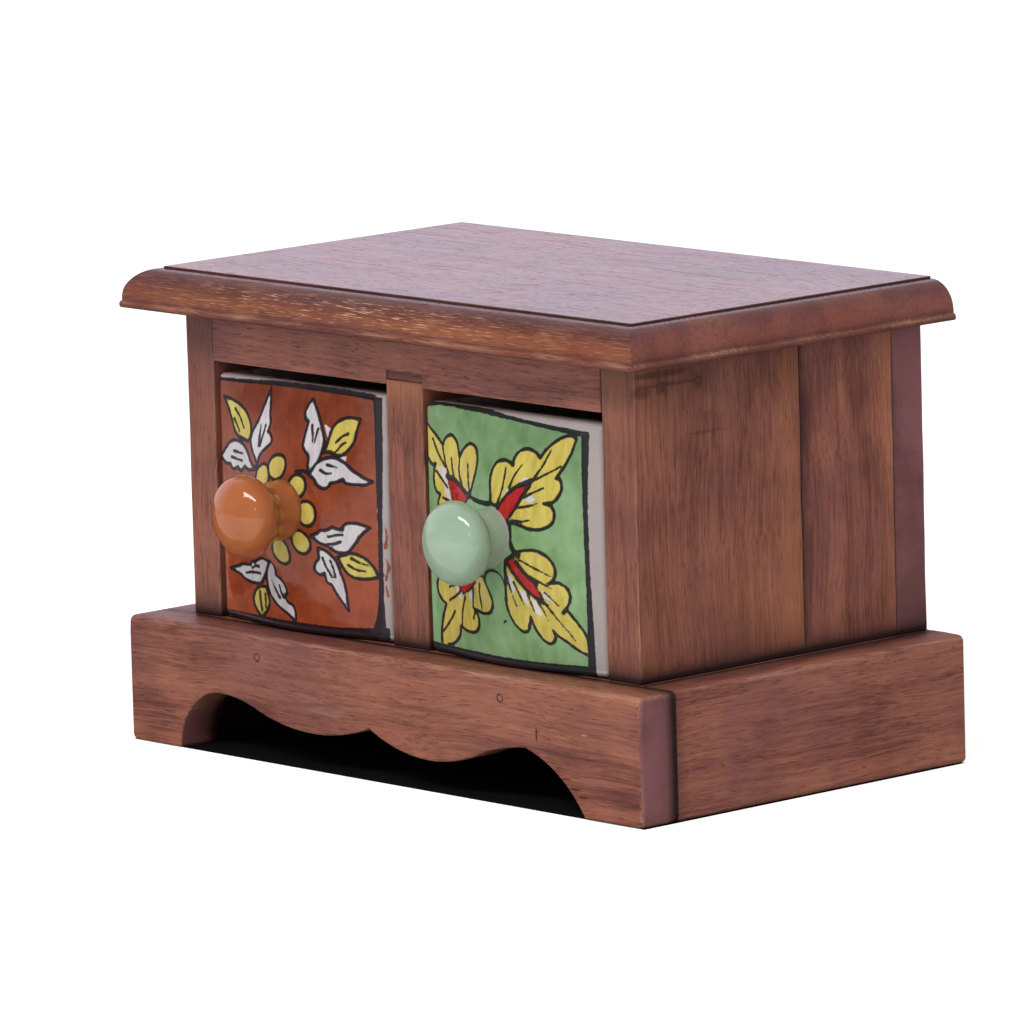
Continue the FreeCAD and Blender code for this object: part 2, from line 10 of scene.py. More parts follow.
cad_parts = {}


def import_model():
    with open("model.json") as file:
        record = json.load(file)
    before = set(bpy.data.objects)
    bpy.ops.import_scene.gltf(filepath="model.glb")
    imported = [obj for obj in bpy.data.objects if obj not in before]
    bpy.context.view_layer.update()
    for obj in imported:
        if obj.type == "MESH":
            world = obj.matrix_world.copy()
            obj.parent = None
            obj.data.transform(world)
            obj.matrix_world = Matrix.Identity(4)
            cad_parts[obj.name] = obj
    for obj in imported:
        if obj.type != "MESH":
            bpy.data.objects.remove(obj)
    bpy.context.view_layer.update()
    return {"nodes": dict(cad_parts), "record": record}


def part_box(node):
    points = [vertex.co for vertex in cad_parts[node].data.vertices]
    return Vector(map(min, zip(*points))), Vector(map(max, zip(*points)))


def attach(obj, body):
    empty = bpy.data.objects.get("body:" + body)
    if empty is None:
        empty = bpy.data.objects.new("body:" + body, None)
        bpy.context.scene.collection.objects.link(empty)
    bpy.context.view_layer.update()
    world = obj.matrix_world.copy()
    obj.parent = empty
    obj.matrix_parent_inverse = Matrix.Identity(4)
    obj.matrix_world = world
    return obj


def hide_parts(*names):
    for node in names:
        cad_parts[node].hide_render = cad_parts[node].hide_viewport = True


# Small tabletop chest of stained hardwood with two drawers of painted, glazed ceramic.
# Shapes are worked out in millimetres of the frame and made in metres.
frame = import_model()

MM = 0.001
LOW, HIGH = 0, 1
X, Y, Z = 0, 1, 2

# Photograph: where the camera stood, in metres and degrees
CAMERA_PLACE = Vector((1.87264, -1.72625, 0.48094))
CAMERA_YAW = math.radians(47.3721)
CAMERA_PITCH = math.radians(9.2517)
CAMERA_ROLL = math.radians(-1.5662)
CAMERA_LENS = 338.69
SENSOR_WIDTH = 36.0

# Wooden boards
BOARD_STEP = 5.0
ROUND_SHARES = (0.0, 0.42, 0.73, 1.0)
EDGE_MARKS = (0.4, 1.0, 2.2, 4.0)
NAIL_CELL = 2.6
NAIL_HOLE_RADIUS = 1.31
NAIL_HOLE_DEPTH = 1.3
NAIL_SIDES = 20
NAIL_HEAD, NAIL_HEAD_THICK = 1.3, 0.9
NAIL_SHANK, NAIL_LENGTH = 0.8, 26.0

# Top board moulding, as in its section: inset from the outermost line, and height
BEAD_HEIGHT = 1.8
BEAD_REACH = 0.8
RISER_HEIGHT = 0.6
OVOLO_RADIUS = 8.0
LAND_WIDTH = 0.4
DENT_DEPTH = 0.22
# Middle and spread: of the worn flecks along the front, and of the stain up the ovolo
TOP_WORN = (-10.0, 55.0)
OVOLO_GOLD, OVOLO_DARK = (4.6, 2.2), (8.9, 1.6)

# Scalloped lower edge of the front plinth board
FOOT_LEFT, FOOT_RIGHT = 20.5, 21.7
BAY_RUN, BAY_HEIGHT, BAY_RADIUS = 16.0, 16.8, 16.9
WAVE_RUN, WAVE_HEIGHT, WAVE_RADIUS = 16.5, 13.6, 44.0
LEFT_LOBE_RADIUS, RIGHT_LOBE_RADIUS = 66.0, 50.4
CUSP_OFFSET, CUSP_HEIGHT = 4.0, 14.1
CREST_RUN, CREST_START, CREST_REACH = 16.9, 12.8, 56.9
CREST_HEIGHT, CREST_RADIUS, RIGHT_BAY_RADIUS = 16.2, 60.0, 38.0
LEDGE_ROUND = 1.8
LEDGE_WORN = (45.0, 40.0)
ARRIS_WORN = 1.6
CORNER_ROUND = 1.5

# Ceramic drawers
CROWN_EASE = 0.7
CROWN_FOOT = 0.5
CROWN_HEIGHT = 8.5
RECESS = {"left": 1.0, "right": 0.4}
DRAWER_ROUND = 1.6
DRAWER_WALL = 4.5
DRAWER_FACE = 7.0
DRAWER_BOTTOM = 5.0
DRAWER_LIP = 1.3
FRONT_WOBBLE = 0.14
PAINT_DEPTH = 2.2
HOLLOW_ROUND = 3.0
PAINT_STEP = 0.45
DRAWN_LIFT, DRAWN_TALL = 0.75, 32.6
FAR = 3.0


def box_mm(node):
    low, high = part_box(node)
    return np.array(low) / MM, np.array(high) / MM


def rough(places, period, seed):
    """Smooth noise from 0 to 1 at each place; one wave is about a period long."""
    shift = Vector((seed * 3.7, seed * 1.3, seed * 2.9))
    return np.array([0.5 + 0.5 * noise.noise(Vector(place) / period + shift) for place in places])


# Meshes
def outward_faces(points, faces, normals):
    """Each face in the order that turns it to the side its points' normals show."""
    turned = []
    for face in faces:
        corners = points[list(face)]
        across = np.zeros(3)
        for index in range(1, len(corners) - 1):
            across += np.cross(corners[index] - corners[0], corners[index + 1] - corners[0])
        facing = float(across @ normals[list(face)].sum(axis=0))
        turned.append(tuple(face) if facing >= 0 else tuple(reversed(face)))
    return turned


def loft(count, rows, start=0, closed=True):
    """Faces between the rows of a lofted mesh; each row has count points."""
    faces = []
    for row in range(start, start + count * (rows - 1), count):
        for index in range(count if closed else count - 1):
            here, after = row + index, row + (index + 1) % count
            faces.append((here, after, after + count, here + count))
    return faces


def lids(count, rows):
    """Faces that close the first and the last row of a lofted mesh."""
    return [tuple(range(count)), tuple(range(count * (rows - 1), count * rows))]


def make_piece(name, nodes, points, faces, fields, material, normals=None):
    """A mesh that stands for CAD nodes and rides with them."""
    mesh = bpy.data.meshes.new(name)
    mesh.from_pydata((np.array(points) * MM).tolist(), [], [tuple(map(int, f)) for f in faces])
    mesh.validate()
    for label, values in fields.items():
        attribute = mesh.attributes.new(label, "FLOAT", "POINT")
        attribute.data.foreach_set("value", np.array(values, dtype=np.float32))
    mesh.polygons.foreach_set("use_smooth", [True] * len(mesh.polygons))
    if normals is not None:
        mesh.normals_split_custom_set_from_vertices(np.array(normals).tolist())
    mesh.materials.append(material)
    piece = bpy.data.objects.new(name, mesh)
    bpy.context.scene.collection.objects.link(piece)
    body = next(b for b, members in frame["record"]["behaviour"]["bodies"].items()
                if nodes[0] in members)
    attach(piece, body)
    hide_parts(*nodes)
    return piece


def stations(low, high, rounding, nails):
    """Places along one side of a board, close together at its ends and round each nail."""
    near = [share * rounding for share in ROUND_SHARES]
    near += [rounding + mark for mark in EDGE_MARKS]
    near = [reach for reach in near if reach < (high - low) / 2 - 0.3]
    count = max(1, round((high - low - 2 * near[-1]) / BOARD_STEP))
    middle = np.linspace(low + near[-1], high - near[-1], count + 1)
    places = [low + reach for reach in near[:-1]] + list(middle)
    places += [high - reach for reach in near[:-1]]
    for nail in nails:
        places = [place for place in places if abs(place - nail) > NAIL_CELL + 0.2]
        places += [nail - NAIL_CELL, nail + NAIL_CELL]
    return sorted(places)


def bell(value, middle, spread):
    """1 at the middle, falling smoothly to 0 on both sides."""
    return np.exp(-((value - middle) / spread) ** 2)


def dirt_and_shade_field(places, low, high, dirt_and_shade):
    """How much darker the wood turns near the edges named as (axis, side, reach, amount): stain in joints
    and corners, and painted shade where shade falls under overhangs and in steps.
    """
    field = np.zeros(len(places))
    for axis, side, reach, amount in dirt_and_shade:
        away = places[:, axis] - low[axis] if side == LOW else high[axis] - places[:, axis]
        field = np.maximum(field, amount * np.exp(-np.abs(away) / reach))
    return field


def band_field(places, low, high, bands):
    """Warmer (above 0) and darker (below 0) bands named as (axis, share, reach, amount)."""
    field = np.zeros(len(places))
    for axis, share, reach, amount in bands:
        away = places[:, axis] - (low[axis] + share * (high[axis] - low[axis]))
        field += amount * bell(away, 0.0, reach)
    return field


def edge_wear(places, low, high, seed):
    """Wear along the arrises: most on the edge itself, uneven along it."""
    away = np.minimum(places - low, high - places)
    second = np.sort(away, axis=1)[:, 1]
    return np.exp(-np.abs(second) / 0.4) * np.clip(rough(places, 17.0, seed) * 1.8 - 0.35, 0, 1)


def nail_hole(centre, corners, axis, outward):
    """Points, normals and faces round one nail: a flat cell with a round hole in it."""
    flat = [a for a in (X, Y, Z) if a != axis]
    points, normals = [], []
    for depth, radius in ((0.0, NAIL_HOLE_RADIUS + 0.02), (0.03, NAIL_HOLE_RADIUS),
                          (NAIL_HOLE_DEPTH, NAIL_HOLE_RADIUS)):
        for step in range(NAIL_SIDES):
            turn = 2 * math.pi * step / NAIL_SIDES
            point = np.array(centre, float)
            point[flat[0]] += radius * math.cos(turn)
            point[flat[1]] += radius * math.sin(turn)
            point[axis] -= outward * depth
            normal = np.zeros(3)
            normal[flat[0]] = -math.cos(turn) if depth else 0.0
            normal[flat[1]] = -math.sin(turn) if depth else 0.0
            normal[axis] = outward if depth < 1 else 0.0
            points.append(point)
            normals.append(normal / np.linalg.norm(normal))
    faces = []
    quarter = NAIL_SIDES // 4
    ring = [("hole", step) for step in range(NAIL_SIDES)]
    for index, corner in enumerate(corners):
        start = index * quarter
        for step in range(start, start + quarter):
            faces.append((corner, ring[step], ring[(step + 1) % NAIL_SIDES]))
        faces.append((corners[index - 1], ring[start], corner))
    for level in (0, 1):
        for step in range(NAIL_SIDES):
            after = (step + 1) % NAIL_SIDES
            here, below = level * NAIL_SIDES, (level + 1) * NAIL_SIDES
            faces.append((("hole", here + step), ("hole", here + after),
                          ("hole", below + after), ("hole", below + step)))
    faces.append(tuple(("hole", 2 * NAIL_SIDES + step) for step in range(NAIL_SIDES)))
    return points, normals, faces


def box_grid(rows, nails, nail_axis, nail_side):
    """Corners and faces of a box cut into cells, and the cells that hold a nail."""
    index, corners, faces, holes = {}, [], [], []

    def corner(key):
        if key not in index:
            index[key] = len(corners)
            corners.append([rows[axis][key[axis]] for axis in (X, Y, Z)])
        return index[key]

    for axis, side in itertools.product((X, Y, Z), (LOW, HIGH)):
        first, second = [a for a in (X, Y, Z) if a != axis]
        place = 0 if side == LOW else len(rows[axis]) - 1
        nailed = nails if axis == nail_axis and side == nail_side else ()
        for i, j in itertools.product(range(len(rows[first]) - 1), range(len(rows[second]) - 1)):
            cell = []
            for di, dj in ((1, 1), (0, 1), (0, 0), (1, 0)):
                key = [0, 0, 0]
                key[axis], key[first], key[second] = place, i + di, j + dj
                cell.append(corner(tuple(key)))
            held = [nail for nail in nailed if rows[first][i] < nail[first] < rows[first][i + 1]
                    and rows[second][j] < nail[second] < rows[second][j + 1]]
            if held:
                centre = np.array(held[0], float)
                centre[axis] = rows[axis][place]
                holes.append((centre, cell, axis, 1 if side == HIGH else -1))
            else:
                faces.append(tuple(cell))
    return np.array(corners), faces, holes


def board(node, material, seed, rounding=0.9, dirt_and_shade=(), nails=(), nail_axis=None, nail_side=HIGH,
          bands=(), box=None, name=None):
    """A plain board with worn, rounded arrises, and a hole round each nail on one face."""
    low, high = box or box_mm(node)
    marks = [sorted({nail[axis] for nail in nails}) if axis != nail_axis else []
             for axis in (X, Y, Z)]
    rows = [stations(low[axis], high[axis], rounding, marks[axis]) for axis in (X, Y, Z)]
    cubes, faces, holes = box_grid(rows, nails, nail_axis, nail_side)
    round_at = rounding * (0.35 + 0.65 * rough(cubes, 14.0, seed))[:, None]
    inner = np.clip(cubes, low + round_at, high - round_at)
    normals = cubes - inner
    normals /= np.linalg.norm(normals, axis=1)[:, None]
    points = inner + normals * round_at
    for centre, cell, axis, outward in holes:
        more, more_normals, more_faces = nail_hole(centre, cell, axis, outward)
        start = len(points)
        points = np.vstack([points, more])
        normals = np.vstack([normals, more_normals])
        cubes = np.vstack([cubes, more])
        for face in more_faces:
            faces.append(tuple(start + c[1] if isinstance(c, tuple) else c for c in face))
    fields = {"wear": edge_wear(cubes, low, high, seed), "dirt_and_shade": dirt_and_shade_field(cubes, low, high, dirt_and_shade),
              "warm": band_field(cubes, low, high, bands)}
    for centre, _, axis, _ in holes:
        flat = [a for a in (X, Y, Z) if a != axis]
        near = np.linalg.norm(cubes[:, flat] - centre[flat], axis=1)
        fields["dirt_and_shade"] = np.maximum(fields["dirt_and_shade"], 0.8 * np.exp(-near / 2.2))
    faces = outward_faces(points, faces, normals)
    return make_piece(name or f"{node}_wood", [node], points, faces, fields, material,
                      normals)


def arc(start, end, radius, turns_left, step=1.0):
    """Points after start up to end, on the short arc between them."""
    start, end = np.array(start, float), np.array(end, float)
    chord = end - start
    length = np.linalg.norm(chord)
    rise = math.sqrt(radius ** 2 - (length / 2) ** 2)
    aside = np.array((-chord[1], chord[0])) / length * (rise if turns_left else -rise)
    centre = (start + end) / 2 + aside
    first = math.atan2(*(start - centre)[::-1])
    sweep = 2 * math.asin(length / 2 / radius) * (1 if turns_left else -1)
    count = max(2, math.ceil(abs(sweep) * radius / step))
    turns = [first + sweep * index / count for index in range(1, count + 1)]
    return [tuple(centre + radius * np.array((math.cos(turn), math.sin(turn)))) for turn in turns]


def straight(start, end, step=3.0):
    """Points after start up to end, on the line between them."""
    start, end = np.array(start, float), np.array(end, float)
    count = max(1, math.ceil(np.linalg.norm(end - start) / step))
    return [tuple(start + (end - start) * index / count) for index in range(1, count + 1)]


def rounded_outline(corners, step=3.0):
    """A closed outline through (x, y, radius) corners, taken anticlockwise."""
    outline = []
    count = len(corners)
    for index, (x, y, radius) in enumerate(corners):
        here = np.array((x, y), float)
        before = np.array(corners[index - 1][:2], float) - here
        after = np.array(corners[(index + 1) % count][:2], float) - here
        start = here + before / np.linalg.norm(before) * radius
        end = here + after / np.linalg.norm(after) * radius
        if outline:
            outline += straight(outline[-1], start, step)
        else:
            outline.append(tuple(start))
        turns_left = before[0] * after[1] - before[1] * after[0] < 0
        outline += arc(start, end, radius, turns_left, radius * 0.3)
    return outline[:-1] if np.allclose(outline[0], outline[-1]) else outline


def outline_normals(outline):
    """Outward direction at each point of an anticlockwise outline, longer at a sharp corner."""
    ahead = np.roll(outline, -1, axis=0) - outline
    ahead /= np.linalg.norm(ahead, axis=1)[:, None]
    behind = np.roll(ahead, 1, axis=0)
    out_ahead = np.column_stack([ahead[:, 1], -ahead[:, 0]])
    out_behind = np.column_stack([behind[:, 1], -behind[:, 0]])
    both = out_ahead + out_behind
    length = np.linalg.norm(both, axis=1)[:, None]
    return both / length, np.clip(2 / length, 1, 1.6)


def extruded(outline, axis, low, high, rims, step=4.0):
    """
    A board sawn to an outline. axis is the direction through it, from low to high, and the
    outline lies in the other two. rims gives the rounding at both ends for a point of it.
    """
    flat = [a for a in (X, Y, Z) if a != axis]
    outline = np.array(outline, float)
    outward, stretch = outline_normals(outline)
    radii = np.array([rims(point) for point in outline])
    levels = []
    for turn in np.linspace(0, 90, 6):
        levels.append((LOW, math.radians(turn)))
    for share in np.linspace(0, 1, max(2, round((high - low) / step)) + 1)[1:-1]:
        levels.append((share, None))
    for turn in np.linspace(90, 0, 6):
        levels.append((HIGH, math.radians(turn)))
    points, normals = [], []
    for place, turn in levels:
        if turn is None:
            depth = low + radii[:, 0] + (high - low - radii.sum(axis=1)) * place
            inset = np.zeros(len(outline))
            side, along = 1.0, 0.0
        else:
            radius = radii[:, place]
            lift = radius * (1 - math.cos(turn))
            depth = low + lift if place == LOW else high - lift
            inset = radius * (1 - math.sin(turn))
            side, along = math.sin(turn), math.cos(turn) * (-1 if place == LOW else 1)
        ring = outline - outward * stretch * inset[:, None]
        row = np.zeros((len(outline), 3))
        row[:, flat[0]], row[:, flat[1]], row[:, axis] = ring[:, 0], ring[:, 1], depth
        normal = np.zeros((len(outline), 3))
        normal[:, flat[0]], normal[:, flat[1]] = outward[:, 0] * side, outward[:, 1] * side
        normal[:, axis] = along
        points.append(row)
        normals.append(normal)
    faces = lids(len(outline), len(levels)) + loft(len(outline), len(levels))
    return np.vstack(points), np.vstack(normals), faces


def sawn_board(node, material, seed, outline, axis, rims, dirt_and_shade=(), worn=1.0):
    """The mesh piece of an extruded board, with wear at its rims and corners."""
    low, high = box_mm(node)
    points, normals, faces = extruded(outline, axis, low[axis], high[axis], rims)
    crease = 1 - np.abs(normals).max(axis=1)
    wear = worn * np.clip(crease / 0.29, 0, 1) * np.clip(rough(points, 17.0, seed) * 1.8 - 0.35, 0, 1)
    flat = np.abs(normals[:, axis]) > 0.999
    fields = {"wear": wear, "dirt_and_shade": dirt_and_shade_field(points, low, high, dirt_and_shade)}
    for field in fields.values():
        field[flat] = 0
    faces = outward_faces(points, faces, normals)
    return make_piece(f"{node}_wood", [node], points, faces, fields, material, normals)


# Materials
class Tree:
    """
    A short way to write the nodes of a material, or of another owner such as the world. A number
    or a socket can stand for a value.
    """

    def __init__(self, name, owner=None):
        self.owner = owner or bpy.data.materials.new(name)
        self.owner.use_nodes = True
        self.tree = self.owner.node_tree
        self.tree.nodes.clear()

    def node(self, kind, **settings):
        node = self.tree.nodes.new(kind)
        for key, value in settings.items():
            setattr(node, key, value)
        return node

    def give(self, socket, value):
        if isinstance(value, bpy.types.NodeSocket):
            self.tree.links.new(value, socket)
        elif isinstance(value, (tuple, list)) and len(value) == 3 and len(socket.default_value) == 4:
            socket.default_value = (*value, 1.0)
        else:
            socket.default_value = value

    def math(self, operation, first, second=0.0, clamp=False):
        node = self.node("ShaderNodeMath", operation=operation, use_clamp=clamp)
        self.give(node.inputs[0], first)
        self.give(node.inputs[1], second)
        return node.outputs[0]

    def plus(self, first, second):
        return self.math("ADD", first, second)

    def minus(self, first, second):
        return self.math("SUBTRACT", first, second)

    def times(self, first, second, clamp=False):
        return self.math("MULTIPLY", first, second, clamp)

    def vector(self, operation, first, second):
        node = self.node("ShaderNodeVectorMath", operation=operation)
        self.give(node.inputs[0], first)
        self.give(node.inputs[1], second)
        return node.outputs["Value" if operation == "DOT_PRODUCT" else "Vector"]

    def spot(self, place, centre, size):
        """1 in the middle of a small ellipsoid and 0 outside it."""
        away = self.vector("DIVIDE", self.vector("SUBTRACT", place, centre), size)
        return self.span(self.vector("DOT_PRODUCT", away, away), 0.2, 1.0, 1.0, 0.0)

    def mix(self, share, first, second, blend="MIX"):
        node = self.node("ShaderNodeMix", data_type="RGBA", blend_type=blend)
        self.give(node.inputs[0], share)
        self.give(node.inputs[6], first)
        self.give(node.inputs[7], second)
        return node.outputs[2]

    def noise(self, vector, scale=1.0, detail=2.0, roughness=0.5, colour=False):
        node = self.node("ShaderNodeTexNoise")
        self.give(node.inputs["Vector"], vector)
        self.give(node.inputs["Scale"], scale)
        self.give(node.inputs["Detail"], detail)
        self.give(node.inputs["Roughness"], roughness)
        return node.outputs["Color" if colour else "Fac"]

    def ramp(self, value, stops):
        node = self.node("ShaderNodeValToRGB")
        elements = node.color_ramp.elements
        while len(elements) < len(stops):
            elements.new(0.5)
        for element, (place, colour) in zip(elements, stops):
            element.position = place
            element.color = (*colour, 1.0)
        self.give(node.inputs[0], value)
        return node.outputs[0]

    def span(self, value, low, high, to_low=0.0, to_high=1.0):
        node = self.node("ShaderNodeMapRange", interpolation_type="SMOOTHSTEP")
        for index, number in enumerate((value, low, high, to_low, to_high)):
            self.give(node.inputs[index], number)
        return node.outputs[0]

    def field(self, name):
        return self.node("ShaderNodeAttribute", attribute_name=name).outputs["Fac"]

    def place(self):
        """Where a point lies, in millimetres of the frame."""
        coordinates = self.node("ShaderNodeTexCoord").outputs["Object"]
        node = self.node("ShaderNodeVectorMath", operation="SCALE")
        self.give(node.inputs[0], coordinates)
        node.inputs["Scale"].default_value = 1 / MM
        return node.outputs["Vector"]

    def stretched(self, vector, scale, shift=(0, 0, 0), turn=(0, 0, 0)):
        node = self.node("ShaderNodeMapping")
        self.give(node.inputs["Vector"], vector)
        node.inputs["Location"].default_value = shift
        node.inputs["Rotation"].default_value = turn
        node.inputs["Scale"].default_value = scale
        return node.outputs["Vector"]

    def bump(self, height, distance, strength=1.0, normal=None):
        node = self.node("ShaderNodeBump")
        self.give(node.inputs["Height"], height)
        node.inputs["Distance"].default_value = distance * MM
        node.inputs["Strength"].default_value = strength
        if normal is not None:
            self.give(node.inputs["Normal"], normal)
        return node.outputs["Normal"]

    def finish(self, colour, roughness, normal=None, **plain):
        shader = self.node("ShaderNodeBsdfPrincipled")
        self.give(shader.inputs["Base Color"], colour)
        self.give(shader.inputs["Roughness"], roughness)
        if normal is not None:
            self.give(shader.inputs["Normal"], normal)
        for name, value in plain.items():
            self.give(shader.inputs[name.replace("_", " ")], value)
        return self.surface(shader.outputs[0])

    def surface(self, shader):
        self.give(self.node("ShaderNodeOutputMaterial").inputs["Surface"], shader)
        return self.owner


WOOD_DARK = (0.080, 0.026, 0.020)
WOOD_DEEP = (0.170, 0.055, 0.037)
WOOD_MID = (0.275, 0.095, 0.060)
WOOD_LIGHT = (0.380, 0.145, 0.083)
WOOD_PLUM = (0.160, 0.057, 0.064)
WOOD_GOLD = (0.400, 0.150, 0.058)
WOOD_END = (0.290, 0.110, 0.125)
WOOD_END_DARK = (0.175, 0.064, 0.073)
WOOD_BARE = (0.470, 0.250, 0.165)
# Dark stain of scars and joints, and also the colour of the painted shade under overhangs and in steps.
WOOD_STAIN_AND_SHADE = (0.030, 0.012, 0.010)
SCRATCH = (0.55, 0.42, 0.36)
RUBBED = (0.46, 0.26, 0.20)
MARK_DEPTH = 2.0
FLECK_GOLD = (0.70, 0.46, 0.25)


class Grain:
    """
    The noises of one board: the bands of its figure, its streaks, fibres and pores, and the
    patches and larger blotches of its stain. axis is the one that the fibres follow.
    """

    def __init__(self, tree, axis, seed, tilt):
        self.tree, self.axis = tree, axis
        self.place = tree.place()
        self.shift = (seed * 37.0, seed * 53.0, seed * 71.0)
        self.turn = [tilt * math.cos(seed * 5), tilt * math.sin(seed * 3), tilt * math.cos(seed * 7)]
        sway = tree.noise(tree.stretched(self.place, [1 / 50.0] * 3, self.shift), 1.0, 1.0, colour=True)
        sway = tree.vector("SUBTRACT", sway, (0.5, 0.5, 0.5))
        sway = tree.vector("MULTIPLY", sway, (6.0, 6.0, 6.0))
        self.warped = tree.vector("ADD", self.place, sway)

        rings = tree.times(tree.noise(self.run(24.0, 260.0), 1.0, 1.0), 8.0)
        bands = tree.math("SINE", tree.times(rings, math.pi))
        self.bands = tree.plus(tree.times(bands, 0.5), 0.5)
        self.streaks = tree.noise(self.run(1.1, 48.0), 1.0, 4.0, 0.65)
        self.fibres = tree.noise(self.run(0.34, 9.0), 1.0, 2.0, 0.6)
        self.pores = tree.span(tree.noise(self.run(0.36, 4.6), 1.0, 1.0), 0.63, 0.72)
        self.patches = tree.noise(self.even(24.0), 1.0, 4.0, 0.6)
        self.blotches = tree.noise(self.even(42.0, self.shift[::-1]), 1.0, 3.0, 0.6)
        self.facing = tree.node("ShaderNodeNewGeometry").outputs["Normal"]

    def run(self, across, along):
        """Coordinates whose waves are this wide across the fibres and this long along them."""
        scale = [1 / across] * 3
        scale[self.axis] = 1 / along
        return self.tree.stretched(self.warped, scale, self.shift, self.turn)

    def even(self, period, shift=None):
        return self.tree.stretched(self.place, [1 / period] * 3, shift or self.shift)


def stained(tree, grain, figure, plum, shade):
    """The stain's colour, before wear, darkening and scars."""
    value = 0.5
    shares = ((grain.bands, figure * 0.34), (grain.streaks, 0.68), (grain.fibres, 0.62),
              (grain.patches, 0.60))
    for part, share in shares:
        value = tree.plus(value, tree.times(tree.minus(part, 0.5), share))
    stops = ((0.14, WOOD_DARK), (0.36, WOOD_DEEP), (0.55, WOOD_MID), (0.84, WOOD_LIGHT))
    colour = tree.ramp(value, stops)
    colour = tree.mix(tree.times(tree.span(grain.blotches, 0.48, 0.66), plum), colour, WOOD_PLUM)
    warmth = tree.field("warm")
    colour = tree.mix(tree.times(warmth, 1.0, clamp=True), colour, WOOD_GOLD)
    colour = tree.mix(tree.times(warmth, -1.0, clamp=True), colour, WOOD_DARK)
    colour = tree.mix(1.0, colour, shade, "MULTIPLY")
    return tree.mix(tree.times(grain.pores, 0.5), colour, WOOD_DARK)


def sawn_ends(tree, grain, colour, share):
    """Another colour where the saw has cut across the fibres."""
    along = [0.0, 0.0, 0.0]
    along[grain.axis] = 1.0
    end = tree.math("ABSOLUTE", tree.vector("DOT_PRODUCT", grain.facing, along))
    end = tree.times(tree.span(end, 0.5, 0.85), share)
    cut = tree.mix(tree.span(grain.patches, 0.38, 0.62), WOOD_END, WOOD_END_DARK)
    return tree.mix(end, colour, cut)


def light_flecks(tree, grain, colour, share):
    """Short pale dashes where worn pores have lost their stain."""
    thin = [1 / 0.20] * 3
    thin[grain.axis] = 1 / 6.0
    dashes = tree.noise(tree.stretched(grain.place, thin, grain.shift), 1.0, 1.0)
    dashes = tree.times(tree.span(dashes, 0.60, 0.70), tree.field("fleck"))
    return tree.mix(tree.times(dashes, share), colour, FLECK_GOLD)


def scarred(tree, grain, colour, marks):
    """Small scars, and the darkening near edges and in corners: stain, and painted shade under overhangs
    and in steps.
    """
    for centre, size, paint, share in marks:
        scar = tree.span(grain.fibres, 0.3, 0.55, 0.5, 1.0)
        scar = tree.times(tree.spot(grain.place, centre, size), scar)
        colour = tree.mix(tree.times(scar, share), colour, paint)
    uneven_darkening = tree.span(grain.patches, 0.2, 0.6, 0.85, 1.0)
    return tree.mix(tree.times(tree.field("dirt_and_shade"), uneven_darkening, clamp=True), colour, WOOD_STAIN_AND_SHADE)


def wood_relief(tree, grain):
    height = tree.minus(tree.times(grain.fibres, 0.6), tree.times(grain.pores, 0.8))
    height = tree.plus(height, tree.times(grain.streaks, 0.8))
    return tree.bump(tree.noise(grain.even(11.0)), 0.14, 1.0, tree.bump(height, 0.06))


def wood(name, axis, seed, tone=1.0, figure=0.5, tilt=0.03, flecks=0.0, gloss=0.36, sheen=0.34,
         end_grain=0.85, plum=0.4, tint=(1.0, 1.0, 1.0), moulding_sheen=None, marks=()):
    """
    Stained hardwood. axis is the one that the fibres follow, tone and tint make the board
    lighter, darker or redder, figure is the strength of its broad bands, flecks of its light worn
    pores, gloss its roughness, sheen its specular level and plum how far the stain turns purple
    in places. moulding_sheen is the specular level of what doesn't face up. marks are small
    scars: middle, half sizes, colour and strength.
    """
    tree = Tree(name)
    grain = Grain(tree, axis, seed, tilt)
    colour = stained(tree, grain, figure, plum, tuple(tone * share for share in tint))
    colour = sawn_ends(tree, grain, colour, end_grain)
    broken = tree.plus(tree.times(grain.fibres, 0.9), tree.times(grain.streaks, 0.5))
    wear = tree.times(tree.field("wear"), tree.span(broken, 0.54, 0.84))
    colour = tree.mix(wear, colour, WOOD_BARE)
    if flecks:
        colour = light_flecks(tree, grain, colour, flecks)
    colour = scarred(tree, grain, colour, marks)

    roughness = tree.plus(gloss, tree.times(grain.fibres, 0.14))
    roughness = tree.plus(roughness, tree.times(wear, 0.2))
    open_grain = tree.times(tree.span(grain.streaks, 0.52, 0.72), 0.30)
    open_grain = tree.math("MAXIMUM", open_grain, tree.times(grain.pores, 0.3))
    roughness = tree.plus(roughness, open_grain)
    if moulding_sheen is not None:
        level = tree.span(tree.vector("DOT_PRODUCT", grain.facing, (0.0, 0.0, 1.0)), 0.93, 0.99)
        roughness = tree.plus(roughness, tree.times(tree.minus(1.0, level), 0.22))
        sheen = tree.span(level, 0.0, 1.0, moulding_sheen, sheen)
    return tree.finish(colour, roughness, wood_relief(tree, grain), Specular_IOR_Level=sheen)


def steel():
    """Old wire nails under the stain: brown, with a little bare dark metal."""
    tree = Tree("stained_nail_steel")
    place = tree.place()
    grime = tree.noise(tree.stretched(place, (0.9, 0.9, 0.9)), 1.0, 4.0, 0.6)
    colour = tree.ramp(grime, ((0.34, (0.075, 0.032, 0.024)), (0.5, (0.150, 0.060, 0.042)),
                               (0.72, (0.215, 0.090, 0.062))))
    roughness = tree.span(grime, 0.2, 0.8, 0.62, 0.4)
    return tree.finish(colour, roughness, tree.bump(grime, 0.08), Metallic=0.25)


LINE_BLACK = (0.012, 0.011, 0.017)
CREAM = (0.43, 0.37, 0.355)


